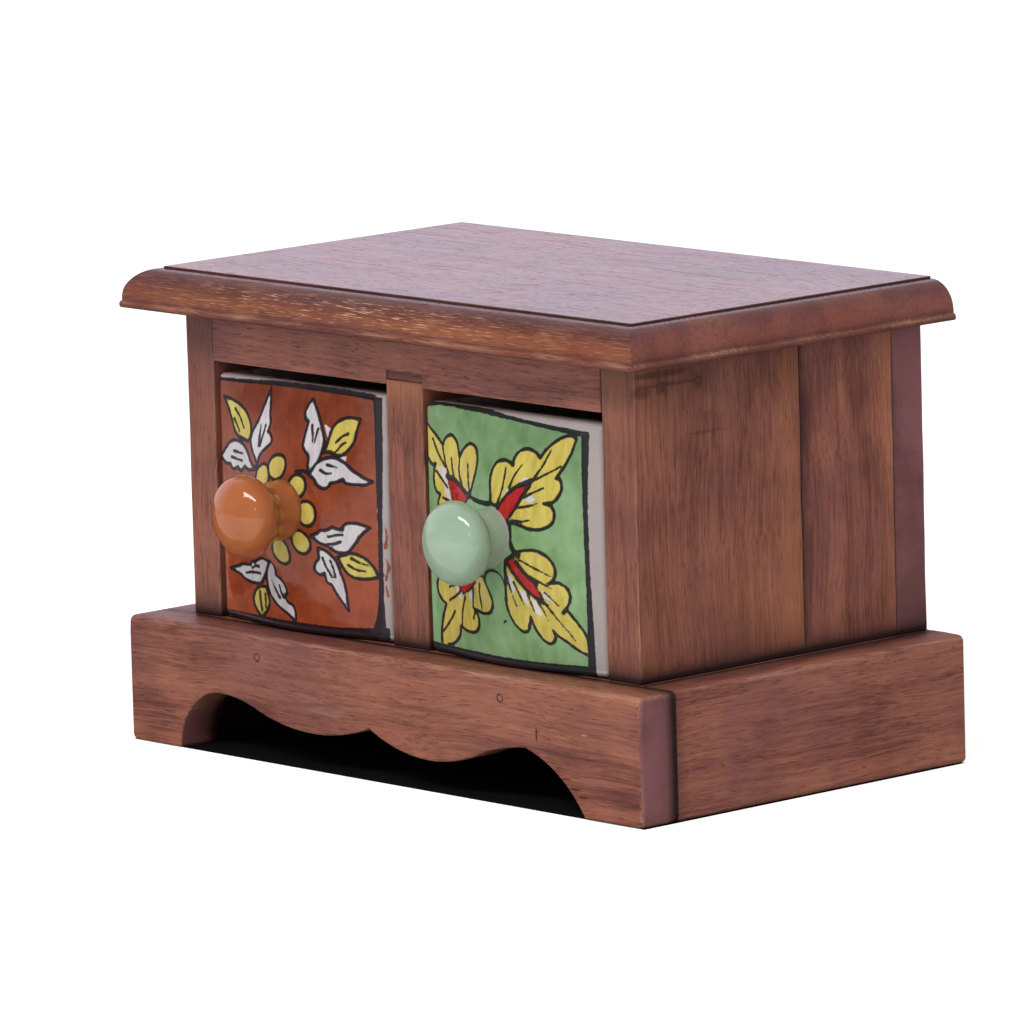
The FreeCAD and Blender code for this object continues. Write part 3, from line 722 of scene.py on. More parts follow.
def painted_glaze(name, ground, colours, seed, painted_shade_by_height, gloss=0.38, coat=0.15):
    """
    Brush-painted ceramic under clear glaze. Each colour is laid where its field, the distance
    in millimetres to the edge of the brushwork, is below zero. Three shares of painted shade
    scale the ground below, in the middle and above: darker towards the top, under the overhang,
    and lighter below.
    """
    tree = Tree(name)
    place = tree.place()
    shift = (seed * 31.0, seed * 17.0, seed * 43.0)
    wobble = tree.noise(tree.stretched(place, (0.55, 0.55, 0.55), shift), 1.0, 2.0)
    bristle = tree.noise(tree.stretched(place, (2.6, 2.6, 2.6), shift), 1.0, 2.0)
    wash = tree.noise(tree.stretched(place, (0.10, 0.10, 0.10), shift), 1.0, 3.0, 0.6)
    strokes = tree.noise(tree.stretched(place, (0.55, 0.2, 0.16), shift, (0, 0.5, 0)), 1.0, 2.0, 0.5)

    def inside(label, soft, sway, hairs):
        edge = tree.field(label)
        edge = tree.plus(edge, tree.times(tree.minus(wobble, 0.5), sway))
        edge = tree.plus(edge, tree.times(tree.minus(bristle, 0.5), hairs))
        return tree.span(edge, -soft, soft, 1.0, 0.0)

    mottle = tree.plus(tree.times(wash, 0.8), tree.times(strokes, 0.2))
    body = tree.ramp(wash, ((0.3, tuple(c * 0.9 for c in CREAM)), (0.7, CREAM)))
    low, middle, high = painted_shade_by_height
    # Painted shade: the ground is darker towards the top of the front, under the overhang, and lighter
    # below.
    height_shade = tree.ramp(tree.field("rise"), ((0.05, [low] * 3), (0.5, [middle] * 3), (0.95, [high] * 3)))
    ground = tree.mix(1.0, tree.ramp(mottle, ground), height_shade, "MULTIPLY")
    colour = tree.mix(inside("ground", 0.16, 0.7, 0.2), body, ground)
    for label, thin, thick in colours:
        shade = tree.plus(tree.times(strokes, 0.7), tree.times(bristle, 0.3))
        paint = tree.ramp(shade, ((0.32, thin), (0.62, thick)))
        colour = tree.mix(inside(label, 0.14, 0.35, 0.15), colour, paint)
    black = inside("black", 0.13, 0.55, 0.25)
    colour = tree.mix(tree.times(black, 0.96), colour, LINE_BLACK)
    roughness = tree.span(wash, 0.3, 0.7, 0.07, 0.13)
    relief = tree.bump(black, 0.03, 0.7)
    ripple = tree.noise(tree.stretched(place, (0.14, 0.14, 0.14), shift), 1.0, 2.0)
    normal = tree.bump(ripple, 0.25, 1.0, relief)
    gloss = tree.span(black, 0.2, 0.8, gloss, gloss * 0.5)
    coat = tree.span(black, 0.2, 0.8, coat, 0.0)
    return tree.finish(colour, roughness, normal, Specular_IOR_Level=gloss, Coat_Weight=coat,
                       Coat_Roughness=0.03)


def plain_glaze(name, stops, seam, seed):
    """One clear glaze over a coloured one, rougher where it pools down the neck and at the foot. There its
    colour is also painted a little lighter: painted light that lifts the shade of the neck.
    """
    tree = Tree(name)
    place = tree.place()
    shift = (seed * 31.0, seed * 17.0, seed * 43.0)
    cloud = tree.noise(tree.stretched(place, (0.12, 0.12, 0.12), shift), 1.0, 3.0, 0.55)
    specks = tree.span(tree.noise(tree.stretched(place, (1.6, 1.6, 1.6), shift), 1.0, 1.0), 0.70, 0.78)
    pool_and_light = tree.field("pool_and_light")
    # Painted light: the colour turns a little lighter down the neck and at the foot, lifting the shade
    # there.
    shade = tree.minus(tree.times(cloud, 0.5), tree.times(pool_and_light, 0.10))
    shade = tree.plus(shade, 0.12)
    colour = tree.ramp(shade, stops)
    colour = tree.mix(tree.times(specks, 0.25), colour, stops[0][1])
    colour = tree.mix(tree.field("slip"), colour, seam)
    ripple = tree.noise(tree.stretched(place, (0.2, 0.2, 0.2), shift), 1.0, 2.0)
    roughness = tree.plus(tree.span(cloud, 0.3, 0.7, 0.06, 0.11), tree.span(pool_and_light, 0.3, 0.6, 0.0, 0.35))
    return tree.finish(colour, roughness, tree.bump(ripple, 0.12), Specular_IOR_Level=0.6,
                       Coat_Weight=0.12, Coat_Roughness=0.03)


# Wooden pieces
def moulding_section():
    """(inset, height) points up the edge of the top board, from its underside to its field."""
    thick = np.diff([corner[Z] for corner in box_mm("top_board")])[0]
    riser_top = BEAD_HEIGHT + RISER_HEIGHT
    shelf = riser_top + OVOLO_RADIUS
    field = BEAD_REACH + OVOLO_RADIUS + LAND_WIDTH
    section = [(0.55, 0.0), (0.25, 0.08), (0.05, 0.35), (0.0, 0.8), (0.03, 1.3), (0.25, 1.68),
               (BEAD_REACH - 0.15, BEAD_HEIGHT), (BEAD_REACH, BEAD_HEIGHT + 0.1)]
    for step in range(17):
        turn = math.pi / 2 * step / 16
        section.append((BEAD_REACH + OVOLO_RADIUS * (1 - math.cos(turn)),
                        riser_top + OVOLO_RADIUS * math.sin(turn)))
    section += [(field - 0.05, shelf), (field, shelf + 0.08), (field, thick - 0.25),
                (field + 0.08, thick - 0.06), (field + 0.3, thick)]
    return section


def section_normals(section):
    """Outward direction (away from the inset, up) at each point of the moulding's section."""
    section = np.array(section)
    along = np.gradient(section, axis=0)
    out = np.column_stack([along[:, 1], along[:, 0]])
    out /= np.linalg.norm(out, axis=1)[:, None]
    out[0] = (0, -1)
    out[-1] = (0, 1)
    return out


def moulding_row(low, high, inset, height):
    """Points of one line of the moulding, and the way each faces in plan: left, front, right."""
    turn_radius, step = 1.4, 2.5
    across = np.linspace(0, 1, round((high[X] - low[X]) / step))
    along = np.linspace(0, 1, round((high[Y] - low[Y]) / step))
    radius = max(turn_radius - inset, 0.12)
    left, right = low[X] + inset + radius, high[X] - inset - radius
    front = low[Y] + inset + radius
    corner = [math.pi / 8 * k for k in (1, 2, 3)]
    row = [(low[X] + inset, high[Y] + (front - high[Y]) * t, -1.0, 0.0) for t in along]
    row += [(left - radius * math.cos(a), front - radius * math.sin(a), -math.cos(a), -math.sin(a))
            for a in corner]
    row += [(left + (right - left) * t, low[Y] + inset, 0.0, -1.0) for t in across]
    row += [(right + radius * math.sin(a), front - radius * math.cos(a), math.sin(a), -math.cos(a))
            for a in corner]
    row += [(high[X] - inset, front + (high[Y] - front) * t, 1.0, 0.0) for t in along]
    row = np.array(row)
    places = np.column_stack([row[:, :2], np.full(len(row), low[Z] + height)])
    return places, row[:, 2:]


def moulded_top(material):
    """The moulding follows the left end, the front and the right end; the rear is sawn square."""
    low, high = box_mm("top_board")
    section = moulding_section()
    thick = high[Z] - low[Z]
    rows, turned, fleck, wear, warm = [], [], [], [], []
    for (inset, height), (out, up) in zip(section, section_normals(section)):
        places, facing = moulding_row(low, high, inset, height)
        on_front = (facing[:, 1] == -1).astype(float)
        dent = DENT_DEPTH * np.clip(rough(places, 9.0, 3.0) * 2 - 0.9, 0, 1)
        places[:, :2] -= facing * (dent * (0.5 + 0.5 * on_front))[:, None] * (0 < height < thick - 1.2)
        rows.append(places)
        turned.append(np.column_stack([facing * out, np.full(len(places), up)]))
        ovolo = 1.0 if BEAD_HEIGHT + 1.0 < height < thick - 1.6 else 0.0
        gather = bell(places[:, X], *TOP_WORN)
        fleck.append(on_front * ovolo * (0.25 + 0.75 * gather))
        sharp = 0.9 if 0.5 * BEAD_HEIGHT < height < BEAD_HEIGHT + 0.2 else 0.15
        wear.append(sharp * np.clip(rough(places, 15.0, 8.0) * 1.9 - 0.45, 0, 1))
        gold = 0.55 * bell(height, *OVOLO_GOLD) - 0.8 * bell(height, *OVOLO_DARK)
        warm.append(gold * (0.55 + 0.45 * on_front) * (0.4 + 0.6 * rough(places, 30.0, 6.0)))
    for field in (wear, fleck, warm):
        field[0][:] = 0
        field[-1][:] = 0
    count = len(rows[0])
    faces = lids(count, len(rows)) + loft(count, len(rows), closed=False)
    rear = [row[0] for row in rows] + [row[-1] for row in reversed(rows)]
    start = count * len(rows)
    faces.append(tuple(range(start, start + len(rear))))
    points = np.vstack([*rows, rear])
    normals = np.vstack([*turned, np.tile((0.0, 1.0, 0.0), (len(rear), 1))])
    plain = np.zeros(len(rear))
    faces = outward_faces(points, faces, normals)
    # Darker towards the underside, and painted shade in the two small steps of the moulding.
    stain = np.maximum(dirt_and_shade_field(points, low, high, [(Z, LOW, 0.6, 0.5)]), step_shadow(points, low, high))
    stain[start:] = 0
    fields = {"wear": np.concatenate([*wear, plain]), "fleck": np.concatenate([*fleck, plain]),
              "warm": np.concatenate([*warm, plain]), "dirt_and_shade": stain}
    make_piece("top_board_wood", ["top_board"], points, faces, fields, material, normals)


def step_shadow(points, low, high):
    """Painted shade in the two small steps of the moulding."""
    height = points[:, Z] - low[Z]
    field = high[Z] - low[Z]
    upper = np.exp(-np.abs(height - (field - 0.45)) / 0.4)
    lower = np.exp(-np.abs(height - (BEAD_HEIGHT + 0.35)) / 0.35)
    stain = np.maximum(upper, lower * 0.5)
    stain[height > field - 0.03] = 0
    return stain


def front_rail(material):
    """Rail over the drawers, with the housing that the partition's end stands in."""
    low, high = box_mm("top_rail")
    stile_low, stile_high = box_mm("centre_partition")
    roof = stile_high[Z] + 2.4
    small, sharp = 0.8, 0.5
    outline = rounded_outline([
        (low[X], low[Z], sharp), (stile_low[X], low[Z], small), (stile_low[X], roof, sharp),
        (stile_high[X], roof, sharp), (stile_high[X], low[Z], small), (high[X], low[Z], sharp),
        (high[X], high[Z], sharp), (low[X], high[Z], sharp)])
    # Darker towards both ends, at the joints with the stiles, and along the top: painted shade under the
    # moulding.
    dirt_and_shade = ((X, LOW, 0.5, 0.7), (X, HIGH, 0.5, 0.7), (Z, HIGH, 1.0, 0.75))
    sawn_board("top_rail", material, 4.0, outline, Y, lambda point: (0.45, 0.3), dirt_and_shade)
    # The packing is made much darker than the rail, painted shade of the recess it sits in, and darker
    # still towards its top and right.
    packing_low = np.array((stile_low[X], low[Y] + 0.7, stile_high[Z] + 0.1))
    packing_high = np.array((stile_high[X], high[Y] - 2, roof + 0.3))
    board("top_rail", wood("packing_grain", X, 26.0, 0.62, 0.5, plum=0.7), 26.0, 0.25,
          ((Z, HIGH, 0.5, 0.8), (X, HIGH, 0.6, 0.8)), box=(packing_low, packing_high),
          name="top_rail_housing")


def scalloped_front(material):
    """Front plinth board, with the hanging wave sawn in its lower edge."""
    low, high = box_mm("plinth_front")
    foot = low[X] + FOOT_LEFT
    bay = foot + BAY_RUN
    wave = bay + WAVE_RUN
    crest = CREST_REACH - CREST_RUN
    outline = [(foot, low[Z])]
    outline += arc(outline[-1], (bay, BAY_HEIGHT), BAY_RADIUS, False)
    outline += arc(outline[-1], (wave, WAVE_HEIGHT), WAVE_RADIUS, False)
    outline += arc(outline[-1], (-CUSP_OFFSET, CUSP_HEIGHT), LEFT_LOBE_RADIUS, True)
    outline += arc(outline[-1], (crest, CREST_START), RIGHT_LOBE_RADIUS, True)
    outline += arc(outline[-1], (CREST_REACH, CREST_HEIGHT), CREST_RADIUS, False)
    outline += arc(outline[-1], (high[X] - FOOT_RIGHT, low[Z]), RIGHT_BAY_RADIUS, False)
    toe = 1.7
    outline += straight(outline[-1], (high[X] - toe, low[Z]))
    outline += arc(outline[-1], (high[X], low[Z] + toe), toe, True, 0.4)
    outline += straight(outline[-1], (high[X], high[Z] - LEDGE_ROUND))
    outline += arc(outline[-1], (high[X] - LEDGE_ROUND, high[Z]), LEDGE_ROUND, True, 0.5)
    outline += straight(outline[-1], (low[X] + LEDGE_ROUND, high[Z]))
    outline += arc(outline[-1], (low[X], high[Z] - LEDGE_ROUND), LEDGE_ROUND, True, 0.5)
    outline += straight(outline[-1], (low[X], low[Z] + toe))
    outline += arc(outline[-1], (low[X] + toe, low[Z]), toe, True, 0.4)
    outline += straight(outline[-1], (foot, low[Z]))[:-1]

    def rims(point):
        over = np.clip((point[1] - (high[Z] - 3 * LEDGE_ROUND)) / LEDGE_ROUND, 0, 1)
        beside = np.clip((abs(point[0]) - (high[X] - 4)) / 3.5, 0, 1)
        front = 0.7 + max((CORNER_ROUND - 0.7) * beside, (LEDGE_ROUND - 0.7) * over)
        return front, 0.2

    # Darker towards the rear of the ledge, where the case stands on it, and towards the lower edge.
    dirt_and_shade = ((Y, HIGH, 2.6, 1.4), (Z, LOW, 0.8, 0.35))
    piece = sawn_board("plinth_front", material, 7.0, outline, Y, rims, dirt_and_shade)
    mesh = piece.data
    places = np.array([vertex.co for vertex in mesh.vertices]) / MM
    arris = bell(places[:, Z], high[Z], ARRIS_WORN) * (places[:, Y] < high[Y] - 1)
    gather = bell(places[:, X], *LEDGE_WORN)
    fleck = mesh.attributes.new("fleck", "FLOAT", "POINT")
    fleck.data.foreach_set("value", (arris * (0.15 + 0.85 * gather)).astype(np.float32))


def side_plinth(side, material, seed):
    """Plinth board along one side: its upper outer arris is well rounded."""
    node = f"plinth_{side}"
    low, high = box_mm(node)
    small, toe = 0.7, 1.6
    if side == "right":
        corners = [(low[X], low[Z], small), (high[X], low[Z], toe), (high[X], high[Z], LEDGE_ROUND),
                   (low[X], high[Z], small)]
        outer = high[X]
    else:
        corners = [(low[X], low[Z], toe), (high[X], low[Z], small), (high[X], high[Z], small),
                   (low[X], high[Z], LEDGE_ROUND)]
        outer = low[X]
    inner_side = LOW if side == "right" else HIGH

    def rims(point):
        share = np.clip(1 - abs(point[0] - outer) / 6, 0, 1)
        return 0.25, 0.6 + (CORNER_ROUND - 0.6) * share

    # Darker towards the inner edge, where the case stands on the ledge, towards the front end and towards
    # the lower edge.
    dirt_and_shade = ((X, inner_side, 4.0, 1.3), (Y, LOW, 0.45, 0.8), (Z, LOW, 0.8, 0.3))
    return sawn_board(node, material, seed, rounded_outline(corners), Y, rims, dirt_and_shade)


def nails_of(node):
    """Every point of a group of nails."""
    mesh = frame["nodes"][node].data
    return np.array([vertex.co for vertex in mesh.vertices]) / MM


def head_places(node, axis, side):
    """Centres of the nail heads of a group that face one way."""
    low, high = box_mm(node)
    places = nails_of(node)
    edge = low[axis] if side == LOW else high[axis]
    near = places[np.abs(places[:, axis] - edge) < 0.05]
    centres = []
    for place in near:
        if not any(np.linalg.norm(place - np.mean(group, axis=0)) < 4 for group in centres):
            centres.append([place])
        else:
            group = min(centres, key=lambda g: np.linalg.norm(place - np.mean(g, axis=0)))
            group.append(place)
    return [(np.min(group, axis=0) + np.max(group, axis=0)) / 2 for group in centres]


def marks_on(axis, place, rows):
    """Marks for wood on one face, from the middle and half sizes in the other two axes."""
    marks = []
    for first, second, wide, high, colour, share in rows:
        centre, size = [first, second], [wide, high]
        centre.insert(axis, place)
        size.insert(axis, MARK_DEPTH)
        marks.append((centre, size, colour, share))
    return marks


def wooden_case():
    """Case boards, each with a stain of its own."""
    # Darker towards each board's foot; towards its head, painted shade under the top board's overhang
    # together with stain; and towards the glued and jointed edges.
    foot = (Z, LOW, 2.3, 1.7)
    head = (Z, HIGH, 1.8, 0.85)
    glue = (Y, HIGH, 0.35, 0.8)
    scars = marks_on(X, box_mm("right_side_front_board")[HIGH][X], (
        (-30.0, 115.0, 12.0, 1.3, WOOD_DARK, 0.7), (-37.0, 111.0, 4.0, 2.5, WOOD_DARK, 0.6),
        (-26.0, 112.0, 12.0, 0.7, WOOD_DARK, 0.6), (22.0, 96.0, 2.5, 14.0, WOOD_DARK, 0.5),
        (22.5, 60.0, 2.0, 12.0, WOOD_DARK, 0.4), (-14.0, 98.0, 9.0, 0.6, WOOD_DARK, 0.4)))
    for side, seed in (("left", 11.0), ("right", 12.0)):
        nail_side = LOW if side == "left" else HIGH
        heads = head_places("rail_nails", X, nail_side)
        front_wood = wood(f"{side}_front_side_grain", Z, seed, 1.16, 0.3, plum=0.5, marks=scars)
        rear_wood = wood(f"{side}_rear_side_grain", Z, seed + 5, 1.32, 0.5, plum=0.4, marks=scars)
        board(f"{side}_side_front_board", front_wood, seed, 0.9, (foot, head, glue), heads, X, nail_side,
              ((Y, 0.93, 3.5, 0.3), (Y, 0.30, 12.0, -0.12), (Y, 0.0, 1.2, -0.3), (Z, 0.2, 16.0, 0.22)))
        board(f"{side}_side_rear_board", rear_wood, seed + 5, 0.5, (foot, head, (Y, LOW, 2.0, 0.85)),
              bands=((Y, 0.62, 4.0, -0.3), (Y, 0.93, 3.0, 0.22)))
    board("back_board", wood("back_board_grain", X, 21.0, 0.9, 0.5, plum=0.7), 21.0, 0.9,
          (foot, head, (Y, LOW, 0.5, 0.8)), head_places("back_nails", Y, HIGH), Y, HIGH,
          ((Z, 0.20, 18.0, 0.5), (Z, 0.70, 12.0, -0.3)))
    board("floor_board", wood("floor_board_grain", X, 22.0, 0.8, 0.5), 22.0, 0.5, (),
          head_places("floor_nails", Z, LOW), Z, LOW)
    board("centre_partition", wood("partition_grain", Z, 23.0, 1.12, 0.4), 23.0, 0.8, (foot,),
          bands=((Z, 1.0, 6.0, 0.5),))
    front_rail(wood("rail_grain", X, 24.0, 1.16, 0.5, plum=0.7, tint=(1.0, 1.0, 1.15)))
    moulded_top(wood("top_grain", X, 25.0, 0.80, 0.6, 0.02, flecks=0.8, gloss=0.06, sheen=0.6,
                     end_grain=0.3, plum=0.6, tint=(1.0, 0.84, 0.80), moulding_sheen=0.2))


def wooden_plinth():
    scars = marks_on(Y, box_mm("plinth_front")[LOW][Y], (
        (79.9, 22.3, 1.3, 0.35, SCRATCH, 0.5), (61.7, 20.4, 0.5, 2.4, WOOD_STAIN_AND_SHADE, 0.9),
        (72.6, 10.0, 2.2, 0.4, WOOD_STAIN_AND_SHADE, 0.8), (75.9, 7.6, 2.6, 0.4, WOOD_STAIN_AND_SHADE, 0.8),
        (78.9, 5.8, 2.2, 0.45, WOOD_STAIN_AND_SHADE, 0.7), (70.0, 12.6, 1.6, 0.4, WOOD_STAIN_AND_SHADE, 0.6),
        (-20.0, 16.8, 10.0, 1.5, RUBBED, 0.32), (-28.0, 19.5, 8.0, 1.2, RUBBED, 0.22),
        (-87.0, 11.0, 11.0, 0.6, WOOD_DARK, 0.55), (-88.0, 4.4, 9.0, 0.5, WOOD_DARK, 0.55),
        (-30.0, 25.0, 26.0, 1.0, WOOD_DARK, 0.30), (10.0, 22.0, 30.0, 0.8, WOOD_DARK, 0.30)))
    scalloped_front(wood("plinth_front_grain", X, 31.0, 1.15, 0.5, flecks=0.7, marks=scars))
    side_plinth("right", wood("plinth_right_grain", Y, 32.0, 1.24, 0.5, 0.05, gloss=0.48, sheen=0.14,
                              tint=(1.0, 1.06, 1.15)), 32.0)
    side_plinth("left", wood("plinth_left_grain", Y, 33.0, 1.0, 0.6), 33.0)
    board("plinth_back", wood("plinth_back_grain", X, 34.0, 0.95, 0.6), 34.0, 0.8,
          ((X, LOW, 0.4, 0.7), (X, HIGH, 0.4, 0.7)), head_places("plinth_nails", Y, HIGH), Y, HIGH)


def nails(node, faces_of, material):
    """
    Wire nails with flat heads, a little uneven from the hammer. faces_of lists the faces they
    are driven into: axis, side and how far the heads stand out.
    """
    section = ((0.6, 0.05), (1.05, 0.0), (NAIL_HEAD - 0.02, 0.0), (NAIL_HEAD, 0.02),
               (NAIL_HEAD, NAIL_HEAD_THICK - 0.1), (NAIL_HEAD - 0.15, NAIL_HEAD_THICK),
               (NAIL_SHANK, NAIL_HEAD_THICK + 0.1), (NAIL_SHANK, NAIL_LENGTH - 2.6))
    points, faces = [], []
    for axis, side, proud in faces_of:
        flat = [a for a in (X, Y, Z) if a != axis]
        inward = 1 if side == LOW else -1
        for centre in head_places(node, axis, side):
            start = len(points)
            places = [(0.0, 0.0, 0.08)]
            places += [(radius, 2 * math.pi * step / NAIL_SIDES, depth)
                       for radius, depth in section for step in range(NAIL_SIDES)]
            places.append((0.0, 0.0, NAIL_LENGTH))
            for radius, turn, depth in places:
                point = np.array(centre)
                point[flat[0]] += radius * math.cos(turn)
                point[flat[1]] += radius * math.sin(turn)
                point[axis] += inward * (depth - proud)
                points.append(point)
            last = start + 1 + (len(section) - 1) * NAIL_SIDES
            for step in range(NAIL_SIDES):
                after = (step + 1) % NAIL_SIDES
                faces.append((start, start + 1 + step, start + 1 + after))
                faces.append((last + step, last + after, len(points) - 1))
            faces += loft(NAIL_SIDES, len(section), start + 1)
    tidy_normals(make_piece(f"{node}_steel", [node], points, faces, {}, material))


def all_nails():
    material = steel()
    nails("rail_nails", ((X, LOW, 0.0), (X, HIGH, 0.0)), material)
    nails("back_nails", ((Y, HIGH, 0.0),), material)
    nails("plinth_nails", ((Y, LOW, 0.03), (Y, HIGH, 0.0)), material)
    nails("floor_nails", ((Z, LOW, 0.0),), material)


# Brushwork
def curve(points, per_span=5):
    """Points on a smooth open curve through the given ones."""
    points = np.array(points, float)
    if len(points) < 3:
        return points
    padded = np.vstack([2 * points[0] - points[1], points, 2 * points[-1] - points[-2]])
    found = []
    for index in range(1, len(padded) - 2):
        p0, p1, p2, p3 = padded[index - 1:index + 3]
        for step in range(per_span):
            t = step / per_span
            found.append(0.5 * (2 * p1 + (p2 - p0) * t + (2 * p0 - 5 * p1 + 4 * p2 - p3) * t ** 2
                                + (3 * p1 - p0 - 3 * p2 + p3) * t ** 3))
    found.append(points[-1])
    return np.array(found)


def shape(strokes):
    """
    A closed outline of brush strokes that meet in sharp corners. Each stroke is given without
    its start, which is the end of the one before it.
    """
    starts = [strokes[index - 1][-1] for index in range(len(strokes))]
    return np.vstack([curve([start, *stroke])[:-1] for start, stroke in zip(starts, strokes)])


def segment_distances(places, starts, ends):
    """Distance from each place to each segment, and how far along the segment it is nearest."""
    along = ends - starts
    length = np.maximum((along ** 2).sum(axis=1), 1e-9)
    share = ((places[:, None, :] - starts[None]) * along[None]).sum(axis=2) / length[None]
    share = np.clip(share, 0, 1)
    nearest = starts[None] + share[:, :, None] * along[None]
    return np.linalg.norm(places[:, None, :] - nearest, axis=2), share


class Painting:
    """Distance fields of the colours on a drawer front, laid one over the other."""

    def __init__(self, places, colours):
        self.places = places
        self.fields = {label: np.full(len(places), FAR) for label in ("ground", "black", *colours)}

    def near(self, outline):
        low, high = outline.min(axis=0) - FAR, outline.max(axis=0) + FAR
        return np.where(((self.places > low) & (self.places < high)).all(axis=1))[0]

    def signed(self, outline, near):
        places = self.places[near]
        after = np.roll(outline, -1, axis=0)
        away, _ = segment_distances(places, outline, after)
        above = (outline[None, :, 1] > places[:, None, 1]) != (after[None, :, 1] > places[:, None, 1])
        rise = np.where(after[:, 1] == outline[:, 1], 1e-9, after[:, 1] - outline[:, 1])
        cross = outline[None, :, 0] + (places[:, None, 1] - outline[None, :, 1]) / rise[None] * (
            after[:, 0] - outline[:, 0])[None]
        within = (above & (places[:, None, 0] < cross)).sum(axis=1) % 2 == 1
        return np.where(within, -away.min(axis=1), away.min(axis=1))

    def fill(self, label, strokes, line=0.50):
        """Lays a colour inside a shape of strokes, with a black line round it."""
        self.lay(label, shape(strokes), line)

    def lay(self, label, outline, line):
        """Lays a colour inside the outline and a black line of that half width round it."""
        near = self.near(outline)
        away = self.signed(outline, near)
        for other, field in self.fields.items():
            if other != "ground":
                field[near] = np.maximum(field[near], -away)
        field = self.fields[label]
        field[near] = np.minimum(field[near], away)
        if line:
            black = self.fields["black"]
            black[near] = np.minimum(black[near], np.abs(away) - line)

    def stroke(self, points, start=0.45, end=0.3, label="black"):
        """One brush stroke whose half width runs from start to end."""
        path = curve(points)
        near = self.near(path)
        away, share = segment_distances(self.places[near], path[:-1], path[1:])
        steps = np.arange(len(path) - 1)[None]
        width = start + (end - start) * (steps + share) / (len(path) - 1)
        field = self.fields[label]
        field[near] = np.minimum(field[near], (away - width).min(axis=1))

    def strokes(self, group, start, end, label="black"):
        for points in group:
            self.stroke(points, start, end, label)


def paint_left(painting):
    """Rust ground with four groups of two white leaves and a yellow one, and a ring of petals."""
    edge = 34.5
    painting.fill("ground", [
        [(0, -36), (27.0, -35)], [(30.0, -28), (30.2, 0), (30.0, 31.6)], [(14, 32.0), (-10, 31.9),
         (-33.6, 31.0)], [(-33.7, -36)]], 0)
    # Border: a thin line along the top, broad bands at the right and below
    painting.stroke([(-edge, 31.1), (-22, 31.4), (-10, 31.9), (12, 32.0), (29.5, 31.6)], 0.45, 0.75)
    painting.stroke([(-33.6, 31), (-33.7, 10), (-33.5, -32)], 0.35, 0.5)
    painting.fill("black", [
        [(29.6, 22), (30.0, 8), (30.1, -6), (29.7, -18), (28.6, -26), (26.0, -32.0)], [(31.6, -33.2)],
        [(31.3, -24), (31.5, -10), (31.9, 4), (32.4, 18), (32.5, 31.9)], [(28.9, 31.9)]], 0)
    painting.fill("black", [
        [(-12, -32.4), (8, -32.2), (20, -31.4), (33, -30.2)], [(33, -40)], [(-edge, -40)],
        [(-edge, -31.9)]], 0)
    rosette(painting)
    upper_right_leaves(painting)
    upper_left_leaves(painting)
    lower_right_leaves(painting)
    lower_left_leaves(painting)
    # Glaze spilt over the margin
    painting.strokes([
        [(32.6, -3), (32.9, -5.4), (32.4, -8.4)], [(32.4, -11.5), (33.1, -13.6), (32.3, -17.0)],
        [(32.2, -19.0), (32.7, -21.5)]], 0.25, 0.55, "ground")
    painting.stroke([(30.6, -15.6), (32.9, -16.2)], 0.4, 0.3)


PETALS = (  # direction in degrees, reach, half length, half width
    (-4, 9.7, 3.1, 3.4), (46, 8.9, 3.4, 3.0), (103, 11.2, 3.3, 3.7), (139, 11.6, 3.2, 3.5),
    (180, 10.9, 3.2, 3.4), (222, 11.4, 3.3, 3.4), (260, 12.5, 3.7, 3.6), (307, 11.1, 3.3, 3.2))
LEFT_KNOB_SHIFT = -0.5


def rosette(painting):
    for degrees, reach, half_length, half_width in PETALS:
        turn = math.radians(degrees)
        out = np.array((math.cos(turn), math.sin(turn)))
        side = np.array((-out[1], out[0]))
        centre = np.array((LEFT_KNOB_SHIFT, 0)) + out * reach
        ring = [centre + out * half_length * math.cos(a) * (1 - 0.08 * math.cos(a))
                + side * half_width * math.sin(a) for a in np.linspace(0, 2 * math.pi, 25)[:-1]]
        painting.lay("yellow", np.array(ring), 0.5)


def upper_right_leaves(painting):
    painting.fill("white", [[(14.8, 22.0)], [(14.4, 18.4)], [(11.6, 23.2)]], 0)
    painting.fill("white", [[(20.8, 15.4)], [(20.2, 13.4)], [(18.2, 15.0)]], 0)
    painting.fill("white", [
        [(8.9, 25.4), (11.0, 22.2), (12.5, 19.2), (12.5, 16.4), (11.6, 13.2), (9.4, 10.4)],
        [(8.5, 12.2), (8.4, 14.3), (6.6, 15.9), (5.5, 17.2), (5.5, 20.4), (5.7, 23.2)], [(4.2, 24.2),
         (3.8, 26.0), (4.7, 28.0), (5.8, 29.2)]])
    painting.fill("yellow", [
        [(20.4, 25.5), (17.0, 24.4), (14.9, 22.5), (14.2, 20.0), (13.9, 17.8), (13.1, 15.9)],
        [(15.4, 16.1), (18.4, 15.3), (21.0, 17.0), (22.7, 19.6), (23.3, 22.4), (24.4, 25.4)]])
    painting.fill("white", [
        [(11.1, 12.6), (13.6, 14.2), (16.7, 14.7), (19.8, 13.7), (23.0, 11.5), (26.2, 9.9),
         (28.8, 9.0)], [(26.6, 8.1), (23.5, 8.0), (21.0, 8.2), (20.0, 9.2)], [(18.0, 8.3), (16.4, 8.1)],
        [(15.6, 6.8), (14.0, 6.5), (12.2, 7.4), (11.4, 8.7), (9.4, 9.6)]])
    painting.strokes([
        [(7.3, 22.5), (8.1, 20.4), (8.8, 18.2)], [(9.7, 21.7), (9.4, 18.1)],
        [(20.4, 21.3), (18.4, 20.3), (16.6, 18.6)], [(19.8, 18.9), (18.6, 18.1), (17.1, 16.4)],
        [(14.7, 12.7), (18.0, 12.2)], [(12.9, 11.2), (14.6, 10.5), (16.4, 10.5)]], 0.5, 0.32)
    painting.stroke([(4.6, 10.3), (7.2, 10.6), (9.4, 10.1)], 0.35, 0.6)


